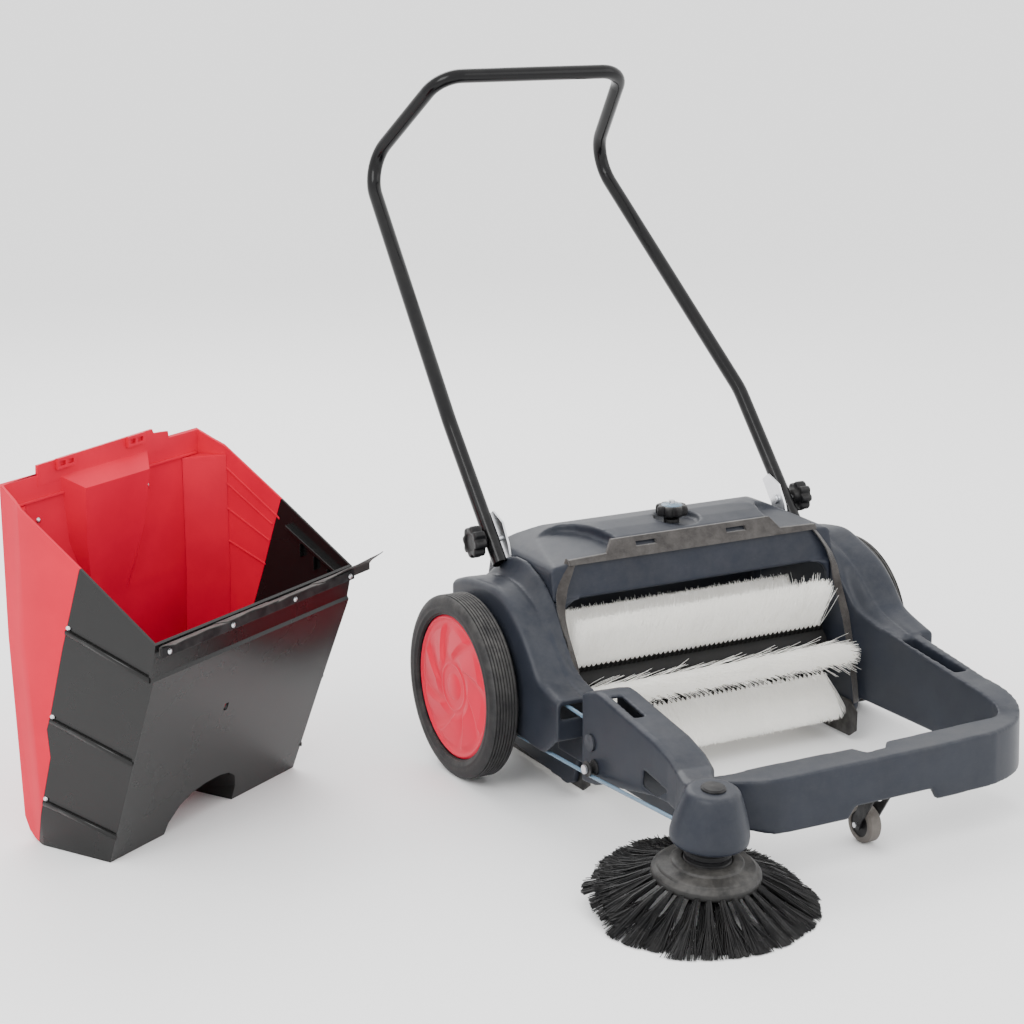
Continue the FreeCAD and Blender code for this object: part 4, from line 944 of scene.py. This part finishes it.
for index in range(row_count):
    settle(brush_row(index), "main_brush", "white_bristle",
           ["brush_bristles"] if index == 0 else ())
strips = gather("row_strips", [bake(row_strip(i)) for i in range(row_count)])
settle(strips, "main_brush", "brush_black", ())
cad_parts["brush_core"].data.materials[0] = materials["brush_black"]
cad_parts["caster_fork"].data.materials[0] = materials["black_plastic"]

# %% [markdown]
# ## Side brush
# A round brush sweeps dirt in from the wall side. Its black filaments leave a clamp ring in
# tufts, stand in two circles and splay out to the floor, with gaps that show between the tufts.

# %% Side brush
def pod_point(radius, angle, height):
    """Point round the leaning spindle: radius, angle and height along the axis, in mm."""
    across = Vector((1, 0, 0))
    forward = pod_axis.cross(across)
    return pod_foot + (pod_axis * height + across * (radius * math.cos(angle))
                       + forward * (radius * math.sin(angle))) * MM


def side_filaments(circle):
    rng = np.random.default_rng(90 + circle)
    tufts, strands = 27, 70
    roots, bends, tips = [], [], []
    for tuft in range(tufts):
        middle = 2 * math.pi * (tuft + 0.5 * circle) / tufts + rng.normal(0, 0.02)
        flare = rng.normal(0, 3.5)
        for _ in range(strands):
            twist = rng.normal(0, 1.0)
            lift = rng.normal(0, 1.0)
            angle = middle + twist * 0.026
            reach = (166 if circle == 0 else 154) + flare - rng.gamma(1.5, 2.2)
            low = 5 + 17 * circle * 0.35 + abs(lift) * 2.6 + (163 - reach) * 0.25
            roots.append(pod_point(50 + 16 * (1 - circle) + twist, middle + twist * 0.012,
                                   61 - 2 * circle))
            bends.append(pod_point(62 + 46 * (1 - 0.25 * circle) + lift * 2, angle,
                                   36 - 5 * circle + lift * 1.8))
            world_low = low + 0.105 * reach * math.sin(angle + twist * 0.03)
            tips.append(pod_point(reach, angle + twist * 0.030, world_low))
    floor = 0.0012
    tips = np.array(tips)
    tips[:, 2] = np.maximum(tips[:, 2], floor)
    return filaments(f"side_tufts_{circle + 1}", np.array(roots), np.array(bends), tips,
                     0.00100, 0.00075, rng)


for circle in (0, 1):
    settle(side_filaments(circle), "side_brush", "black_bristle",
           ["side_brush_bristles"] if circle == 0 else ())

ring_profile = [(35, 66), (52, 60), (66, 52), (74, 50), (77, 52), (77.5, 57), (76.5, 61),
                (74, 64), (70, 66.5), (69, 68), (67, 69.5), (60, 71.5), (52, 74), (50, 76.5),
                (46, 78.5), (38, 80), (35.5, 80)]
ring = lathe("clamp_ring", ring_profile + ring_profile[:1], pod_foot, pod_axis, 96)
settle(soften(ring, 0.8, 2, 20), "side_brush", "clamp_plastic", ["side_brush_ring"])
neck_profile = [(7.5, 71), (33, 71), (34.6, 73), (34.6, 79), (32.5, 81), (32.5, 86), (34.2, 88),
                (34.2, 94), (32, 97), (28, 98.4), (7.5, 98.4)]
neck = lathe("brush_neck", neck_profile + neck_profile[:1], pod_foot, pod_axis, 72)
settle(soften(neck, 0.6, 2, 20), "side_brush", "black_plastic", ["side_brush_hub"])

# %% [markdown]
# ## Star knobs
# Three hand knobs clamp the handle and set the brush height. Each has eight round lobes with
# hollows between them and a shallow dished face; the height knob has a clear domed cap.

# %% Star knobs
def star_knob(name, centre, axis, radius, height):
    steps, lobes = 128, 8
    turn = Vector((0, 0, 1)).rotation_difference(Vector(axis)).to_matrix()

    def ring(scale, level, depth):
        points = []
        for i in range(steps):
            angle = 2 * math.pi * i / steps
            wave = 1 - depth * (0.5 - 0.5 * math.cos(lobes * angle)) ** 1.6
            offset = Vector((math.cos(angle) * radius * scale * wave,
                             math.sin(angle) * radius * scale * wave, level))
            points.append(centre + turn @ offset * MM)
        return points
    rings = [ring(0.30, -6.5, 0), ring(0.48, -6.5, 0), ring(0.50, -0.5, 0), ring(0.80, 0, 0.06),
             ring(0.93, 0.6, 0.15), ring(0.985, 2.2, 0.19), ring(1.0, 5, 0.20),
             ring(1.0, height - 6, 0.20), ring(0.985, height - 2.6, 0.19),
             ring(0.93, height - 0.7, 0.17), ring(0.86, height, 0.13), ring(0.62, height, 0.02),
             ring(0.56, height - 1.0, 0), ring(0.52, height - 2.2, 0), ring(0.2, height - 2.2, 0)]
    return shade(loft(name, rings))


def middle_of(name):
    low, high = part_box(name)
    return (low + high) / 2


for side, word in ((LEFT, "left"), (RIGHT, "right")):
    middle = middle_of(f"handle_knob_{word}")
    base = Vector((MID_X + side * 312 * MM, middle.y, middle.z))
    settle(star_knob(f"star_knob_{word}", base, (side, 0, 0), 26.5, 20), f"knob_{word}_body",
           "black_plastic", [f"handle_knob_{word}"])
knob_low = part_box("height_knob")[0]
knob_centre = middle_of("height_knob")
settle(star_knob("star_knob_height", Vector((knob_centre.x, knob_centre.y, knob_low.z - 1 * MM)),
                 (0, 0, 1), 27, 17), "height_knob_body", "black_plastic", ["height_knob"])

dome = lathe("knob_dome", [(18.5, 0), (18.5, 1.2), (17, 2.6), (13, 3.9), (7, 4.7), (0, 5.0)],
             Vector((knob_centre.x, knob_centre.y, knob_low.z + 14 * MM)), (0, 0, 1), 64)
settle(shade(dome), "height_knob_body", "clear_belt", ["height_knob_cap"])
collar = lathe("knob_collar", [(13, 0), (13, 8), (10.5, 10), (10.5, 14), (5.2, 14), (5.2, 0),
                               (13, 0)], Vector((knob_centre.x, knob_centre.y, 0.3775)),
               (0, 0, 1), 48)
settle(shade(collar), "chassis", "black_plastic")

# %% [markdown]
# ## Hopper
# The dirt hopper stands beside the machine. Its back half is a red tub with slanted rim, a
# grip pocket in the back wall and ribs inside; the front half is glossy black, with three long
# grooves on each side, an arch under the front and a rubber lip in overlapping flaps along
# its mouth. All of it is in the hopper's own frame: u across, v from the mouth to the back wall.

# %% Hopper frame
HOPPER_X, HOPPER_Y, HOPPER_TURN = -748.0, -58.0, math.radians(30.7)
HOPPER_WALL = 4.2


def in_hopper(u, v, z):
    """A point of the hopper's own frame, in millimetres, as a point of the row frame."""
    x = HOPPER_X + u * math.cos(HOPPER_TURN) - v * math.sin(HOPPER_TURN)
    y = HOPPER_Y + u * math.sin(HOPPER_TURN) + v * math.cos(HOPPER_TURN)
    return at(x, y, z)


def hopper_form(name, inset):
    """Closed form of the hopper; the hollow is the same form, inset by the wall."""
    profile = [(0 + inset, 354), (10 + inset, 304), (7 + inset, 299), (9 + inset, 293),
               (62 + inset, 149), (115 + inset, inset), (250 - inset, inset),
               (266 - inset, 4 + inset), (279 - inset, 14 + inset), (289 - inset, 34 + inset),
               (289 - inset, 300), (289 - inset, 548), (244, 523), (132, 447)]
    if inset:
        profile[0] = (inset - 4, 372)
        profile[-3:] = [(289 - inset, 620), (244, 600), (132, 500)]
    half, foot = 241 - inset, 226 - inset
    solid = prism(name, "x", profile, -260, 260, in_hopper)
    plan = [(-half, -30), (-half, 243 - inset), (-half + 7, 262 - inset), (-half + 20, 310),
            (half - 20, 310), (half - 7, 262 - inset), (half, 243 - inset), (half, -30)]
    rings = []
    for level, share in ((-5, foot / half), (320, 1.0), (640, 1.0)):
        rings.append([in_hopper(u * share, v, level) for u, v in plan])
    return combine(solid, [loft("plan", rings)], "INTERSECT")


def hopper_groove(side, path, width, depth):
    """Long rounded groove on the hopper's side, along a path of (v, z) points."""
    rings = []
    for (v, z), (v2, z2) in zip(path, path[1:] + [(2 * path[-1][0] - path[-2][0],
                                                   2 * path[-1][1] - path[-2][1])]):
        along = Vector((v2 - v, z2 - z)).normalized()
        normal = Vector((-along.y, along.x)) * width / 2
        wall = side * (241 - 15 * max(0, 320 - z) / 325)
        rings.append([in_hopper(wall + side * 6, v + normal.x, z + normal.y),
                      in_hopper(wall - side * depth, v + normal.x * 0.5, z + normal.y * 0.5),
                      in_hopper(wall - side * depth, v - normal.x * 0.5, z - normal.y * 0.5),
                      in_hopper(wall + side * 6, v - normal.x, z - normal.y)])
    return loft("groove", rings)


print("hopper corner", [round(c, 3) for c in in_hopper(0, 0, 0)])

# %% [markdown]
# The red tub and the black front part meet in a seam that runs down both sides: from the rim it
# drops steeply, steps towards the mouth at mid height and leans back to the floor.

# %% Hopper shells
SEAM = [(-40, -20), (-40, 480), (96, 480), (132, 446), (134, 441), (206, 215), (216, 190),
        (214, 146), (236, 74), (247, 37), (262, -20)]
GROOVES = [[(164, 356), (96, 335), (14, 309)], [(208, 213), (130, 193), (57, 174)],
           [(236, 78), (170, 65), (99, 51)]]


def hopper_parts():
    outer = hopper_form("hopper_outer", 0)
    grip = loft("grip", [[in_hopper(u, v, z) for u, v, z in ring] for ring in (
        [(-79, 257, 515), (68, 257, 515), (105, 292, 541), (-110, 292, 541)],
        [(-72, 266, 430), (62, 266, 430), (92, 292, 430), (-97, 292, 430)],
        [(-40, 288, 311), (30, 288, 311), (36, 292, 308), (-46, 292, 308)])])
    grip_hollow = loft("grip_hollow", [[in_hopper(u, v, z) for u, v, z in ring] for ring in (
        [(-74, 263, 511), (63, 263, 511), (98, 296, 536), (-103, 296, 536)],
        [(-68, 271, 430), (58, 271, 430), (86, 296, 430), (-91, 296, 430)],
        [(-36, 292, 326), (26, 292, 326), (32, 296, 322), (-42, 296, 322)])])
    hollow = carve(hopper_form("hopper_hollow", HOPPER_WALL), [grip])
    carve(outer, [hollow, grip_hollow])
    rise = prism("rim_rise", "y", [(-153, 530), (-151, 561), (111, 567), (114, 560), (149, 557),
                                   (152, 530)], 284.2, 288.8, in_hopper)
    combine(outer, [rise], "UNION")
    zone = prism("zone", "x", SEAM, -300, 300, in_hopper)
    back_zone = prism("zone", "x", [(v + 0.4, z) for v, z in SEAM], -300, 300, in_hopper)
    tub = outer.copy()
    tub.data = outer.data.copy()
    tub.name = "hopper_tub"
    bpy.context.scene.collection.objects.link(tub)
    carve(tub, [back_zone])
    front = outer
    front.name = "hopper_front"
    combine(front, [zone], "INTERSECT")
    arch_plan = [(-108, -30), (-100, 18), (-82, 42), (-56, 56), (-26, 62), (9, 63), (34, 58),
                 (52, 46), (61, 26), (64, -30)]
    arch = prism("arch", "y", arch_plan, 40, 200, in_hopper)
    arch_wall = prism("arch_wall", "y", [(u * 1.035 - 0.6, z + 4) for u, z in arch_plan],
                      41, 198, in_hopper)
    combine(arch_wall, [hopper_form("limit", 0)], "INTERSECT")
    combine(front, [arch_wall], "UNION")
    cutters = [arch]
    for side in (LEFT, RIGHT):
        for path in GROOVES:
            cutters.append(hopper_groove(side, path, 11, 2.4))
    cutters.append(lathe("dimple", [(5, -6), (5, 6)], in_hopper(-31, 46, 194), (0, 0, 1), 24))
    carve(front, cutters)
    return tub, front


tub, front = hopper_parts()
settle(soften(tub, 1.6, 3, 24), "hopper", "red_plastic", ["hopper_shell"])
settle(soften(front, 1.4, 3, 24), "hopper", "black_gloss_plastic", ["hopper_base"])

# %% [markdown]
# Under each groove of the side a round bead stiffens the wall, and a small screw stands at the
# groove's back end.

# %% Hopper beads
def wall_at(z):
    return 241 - 15 * max(0, 320 - z) / 325


def side_beads():
    beads = []
    for side in (LEFT, RIGHT):
        for path in GROOVES:
            rings = []
            for v, z in path:
                centre_z = z - 8.5
                rings.append([in_hopper(side * (wall_at(centre_z) + 0.2 + 2.6 * math.sin(a)),
                                        v, centre_z + 4.2 * math.cos(a))
                              for a in [2 * math.pi * k / 16 for k in range(16)]])
            beads.append(loft("bead", rings))
    return shade(gather("side_beads", beads))


settle(side_beads(), "hopper", "black_gloss_plastic")

# %% [markdown]
# Inside the tub a ledge runs below the rim, low slanted ribs stiffen the sides, and a slanted
# panel closes each back corner. They are thin prisms set on the wall, each with a narrow bevel,
# because they are too fine for the shell's own outline.

# %% Hopper ribs and panels
def hopper_ribs():
    ribs = []
    for side in (LEFT, RIGHT):
        for low, high in (((150, 404), (240, 462)), ((156, 376), (240, 420)),
                          ((166, 336), (240, 366))):
            (v, z), (v2, z2) = low, high
            ribs.append(prism("rib", "x", [(v, z), (v2, z2), (v2, z2 - 3), (v, z - 3)],
                              side * 235.0, side * 237.4, in_hopper))
        ribs.append(prism("ledge", "x", [(136, 416), (242, 489), (242, 485), (136, 412)],
                          side * 235.2, side * 237.4, in_hopper))
    for low, high in ((-215, -99), (96, 215)):
        ribs.append(box("ledge", (low, 281.8, 508), (high, 285.4, 512), in_hopper))
    return gather("tub_ribs", ribs)


settle(soften(hopper_ribs(), 0.9, 2), "hopper", "red_plastic")


def corner_panels():
    """Slanted panel that closes each back corner below the ledge."""
    panels = []
    for side in (LEFT, RIGHT):
        rings = []
        for level in (40, 320, 507):
            edge = wall_at(level) - 4.5
            rings.append([in_hopper(side * u, v, level) for u, v in (
                (edge, 238), (edge - 7, 257.5), (edge - 13.8, 284.4), (edge - 56, 284.4))])
        panels.append(loft("panel", rings))
    return gather("corner_panels", panels)


settle(soften(corner_panels(), 0.8, 2), "hopper", "red_plastic")

# %% [markdown]
# Two small frames on the back rim catch on the machine. In the black front half a ledge on webs
# runs up inside each side wall.

# %% Latch hooks and ledges
def latch_hook(u, top):
    """Small frame with two windows that catches on the machine's back edge."""
    hook = prism("hook", "y", [(u - 20, top - 17), (u - 20, top), (u + 20, top + 1),
                               (u + 20, top - 16)], 278.5, 284.4, in_hopper)
    windows = [box("window", (u + shift - 6, 270, top - 12), (u + shift + 6, 283, top - 5),
                   in_hopper) for shift in (-9, 9)]
    return carve(hook, windows)


hooks = gather("latch_hooks", [latch_hook(-93, 564), latch_hook(67, 567)])
settle(soften(hooks, 0.6, 2), "hopper", "red_plastic")


def front_ledges():
    ledges = []
    for side in (LEFT, RIGHT):
        ledges.append(prism("ledge", "x", [(14, 340), (118, 408), (118, 402), (14, 334)],
                            side * 226, side * 237.5, in_hopper))
        for v, z in ((40, 345), (66, 362), (92, 380)):
            ledges.append(box("web", (side * 232 - 4, v - 1.5, z - 22),
                              (side * 232 + 4, v + 1.5, z), in_hopper))
    return gather("front_ledges", ledges)


settle(soften(front_ledges(), 0.9, 2), "hopper", "black_gloss_plastic")

# %% [markdown]
# Along the mouth hang four rubber flaps that overlap, clamped under a flat bar with screws. Each
# flap is a loft with its own small droop, so the free edge isn't straight. A cloth simulation
# could do it too, but stiff rubber hardly moves.

# %% Rubber lip and screws
def rubber_lip():
    """Overlapping rubber flaps that hang forward over the mouth's edge."""
    flaps = []
    edges = [-236, -118, 0, 120, 284]
    for index in range(len(edges) - 1):
        low, high = edges[index], edges[index + 1] + (6 if index < 3 else 0)
        lift = 1.1 * (index % 2)
        columns = 14
        rings = []
        for i in range(columns + 1):
            u = low + (high - low) * i / columns
            droop = 0.8 * math.sin(u * 0.045 + index)
            rise = 9.0 * max(u - 120, 0) / 150 if index == 3 else 0
            tip_z = 361 + lift + rise + 0.5 * math.sin(u * 0.11 + 2 * index) - droop * 0.5
            rings.append([in_hopper(u, -1.2, 338), in_hopper(u, -1.6, 350 + lift),
                          in_hopper(u, -8.0, 354.5 + lift), in_hopper(u, -30 - droop, tip_z),
                          in_hopper(u, -30.6 - droop, tip_z - 1.3),
                          in_hopper(u, -8.6, 353 + lift), in_hopper(u, -4.2, 348.5),
                          in_hopper(u, -4.2, 338)])
        flaps.append(loft("flap", rings))
    return gather("rubber_lip", flaps)


settle(soften(rubber_lip(), 0.4, 2, 50), "hopper", "soft_rubber", ["hopper_lip"])


def clamp_strip():
    bar = box("clamp_bar", (-236, -7.6, 335), (236, -5.2, 350), in_hopper)
    return soften(bar, 0.6, 2)


settle(clamp_strip(), "hopper", "black_plastic", ["lip_clamp_strip"])


def screw(name, place_head, axis, radius=3.4):
    """Small domed screw head on a washer."""
    profile = [(1.25, 0), (1.25, 0.22), (1.0, 0.25), (0.98, 0.45), (0.75, 0.72), (0.4, 0.84),
               (0.0, 0.86)]
    return lathe(name, [(r * radius, h * radius) for r, h in profile], place_head, axis, 32)


out_of_mouth = in_hopper(0, -1, 0) - in_hopper(0, 0, 0)
inward = in_hopper(1, 0, 0) - in_hopper(0, 0, 0)
lip_heads = [screw("head", in_hopper(u, -7.6, 342), out_of_mouth) for u in (-220, -75, 78, 224)]
settle(shade(gather("lip_screw_heads", lip_heads)), "hopper", "zinc_steel", ["lip_screws"])
side_heads = [screw("head", in_hopper(u, 284.6, z), out_of_mouth)
              for u, z in ((-155, 479), (-138, 441), (93, 481))]
for side in (LEFT, RIGHT):
    side_heads += [screw("head", in_hopper(side * (wall_at(path[0][1]) - 1), path[0][0] - 4,
                                           path[0][1] - 1), inward * side) for path in GROOVES]
settle(shade(gather("tub_screw_heads", side_heads)), "hopper", "zinc_steel")

# %% [markdown]
# ## Belt
# A round belt takes the side brush's drive from a pulley on the main brush's shaft. It turns
# through a quarter on its way, with one run inside the arm and the other over an idler.

# %% Belt
def belt():
    x, rear, front = -338.0, 52.4, 36.0
    pod = pod_foot + pod_axis * 134 * MM
    path = []
    for i in range(25):
        angle = -math.pi / 2 + math.pi * i / 24
        path.append(at(x, -88 + rear * math.cos(angle), 143 + rear * math.sin(angle)))
    forward = Vector((0, -math.cos(LEAN), -math.sin(LEAN)))
    across = Vector((1, 0, 0))
    for i in range(25):
        angle = math.pi * i / 24
        path.append(pod + (across * math.cos(angle) + forward * math.sin(angle)) * front * MM)
    path += [at(x, -334, 97.6), at(x, -330, 97.4), at(x, -324, 97.4)]
    closed = path + [path[0]]
    dense = []
    for a, b in zip(closed, closed[1:]):
        pieces = max(1, int((b - a).length / 0.008))
        dense += [a.lerp(b, k / pieces) for k in range(pieces)]
    rings = []
    for i, spot in enumerate(dense):
        along = (dense[(i + 1) % len(dense)] - dense[i - 1]).normalized()
        first = along.cross(Vector((0.3, 0.2, 1))).normalized()
        second = along.cross(first)
        rings.append([spot + (first * math.cos(a) + second * math.sin(a)) * 3 * MM
                      for a in [2 * math.pi * k / 12 for k in range(12)]])
    return shade(loft("round_belt", rings + rings[:1], caps=False))


belt_piece = belt()
belt_piece.data.materials.append(materials["clear_belt"])
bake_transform(belt_piece)
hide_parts("drive_belt")

# %% [markdown]
# ## Parts that keep their CAD mesh
# The handle, brackets, bolts, gears, shafts, caster and flaps are exact already. They only get
# their finish and a narrow rounded edge where a real part has one.

# %% Edges of the CAD parts
for cad_name in ("handle_bracket_left", "handle_bracket_right", "pivot_bolt_left",
                 "pivot_bolt_right", "caster_plate", "caster_fork", "wheel_rim_left",
                 "wheel_rim_right", "belt_pulley", "idler_bolt", "belt_idler", "caster_axle"):
    cad_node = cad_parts[cad_name]
    edge = cad_node.modifiers.new("edges", "BEVEL")
    edge.width = 0.5 * MM
    edge.segments = 2
    edge.limit_method = "ANGLE"
    edge.angle_limit = math.radians(40)
    edge.harden_normals = True
print("edges softened")

# %% [markdown]
# ## Setting
# The machine stands on a pale floor in even white light, with one larger soft lamp from the left,
# a weaker one from the right and one behind. Large soft lamps give black plastic a long, calm
# shine. The camera stands in front, a little to the left and above.

# %% Setting
def area_lamp(name, place_lamp, target, size, power):
    lamp = bpy.data.lights.new(name, "AREA")
    lamp.size = size
    lamp.energy = power
    obj = bpy.data.objects.new(name, lamp)
    obj.location = place_lamp
    obj.rotation_euler = (Vector(target) - Vector(place_lamp)).to_track_quat("-Z", "Y").to_euler()
    bpy.context.scene.collection.objects.link(obj)
    return obj


floor = loft("pale_floor", [[Vector((-90, y, -0.0006)), Vector((90, y, -0.0006))]
                            for y in (-12, 0, 240)], closed=False, caps=False)
floor_material = bpy.data.materials.new("floor_finish")
floor_material.use_nodes = True
floor_tree = floor_material.node_tree
floor_shader = floor_tree.nodes["Principled BSDF"]
floor_cloud = node(floor_tree, "ShaderNodeTexNoise", None, Scale=3.0, Detail=4.0)
floor_colour = mix_colour(floor_tree, floor_cloud.outputs[0], (0.90, 0.90, 0.90, 1),
                          (0.93, 0.93, 0.93, 1))
floor_tree.links.new(floor_colour, floor_shader.inputs["Base Color"])
floor_shader.inputs["Roughness"].default_value = 0.7
floor.data.materials.append(floor_material)

world = bpy.data.worlds.new("white_room")
bpy.context.scene.world = world
world.use_nodes = True
world.node_tree.nodes["Background"].inputs[0].default_value = (1.0, 1.0, 1.0, 1.0)
world.node_tree.nodes["Background"].inputs[1].default_value = 1.95
centre = (0.1, 0.0, 0.4)
area_lamp("key_lamp", (-2.6, -1.8, 3.2), centre, 2.2, 105)
area_lamp("fill_lamp", (3.0, -2.2, 2.2), centre, 2.4, 26)
area_lamp("back_lamp", (0.6, 3.0, 3.0), centre, 2.6, 90)

camera = bpy.data.cameras.new("camera")
camera.lens = 77.77
camera.sensor_width = 36
camera.clip_end = 400
camera.dof.use_dof = False
camera_obj = bpy.data.objects.new("camera", camera)
camera_obj.location = at(-1934.4, -2996.2, 1287.5)
camera_obj.rotation_euler = (math.radians(90 - 14.17), math.radians(0.09), math.radians(-28.79))
bpy.context.scene.collection.objects.link(camera_obj)
bpy.context.scene.camera = camera_obj
print("camera at", [round(c, 2) for c in camera_obj.location])
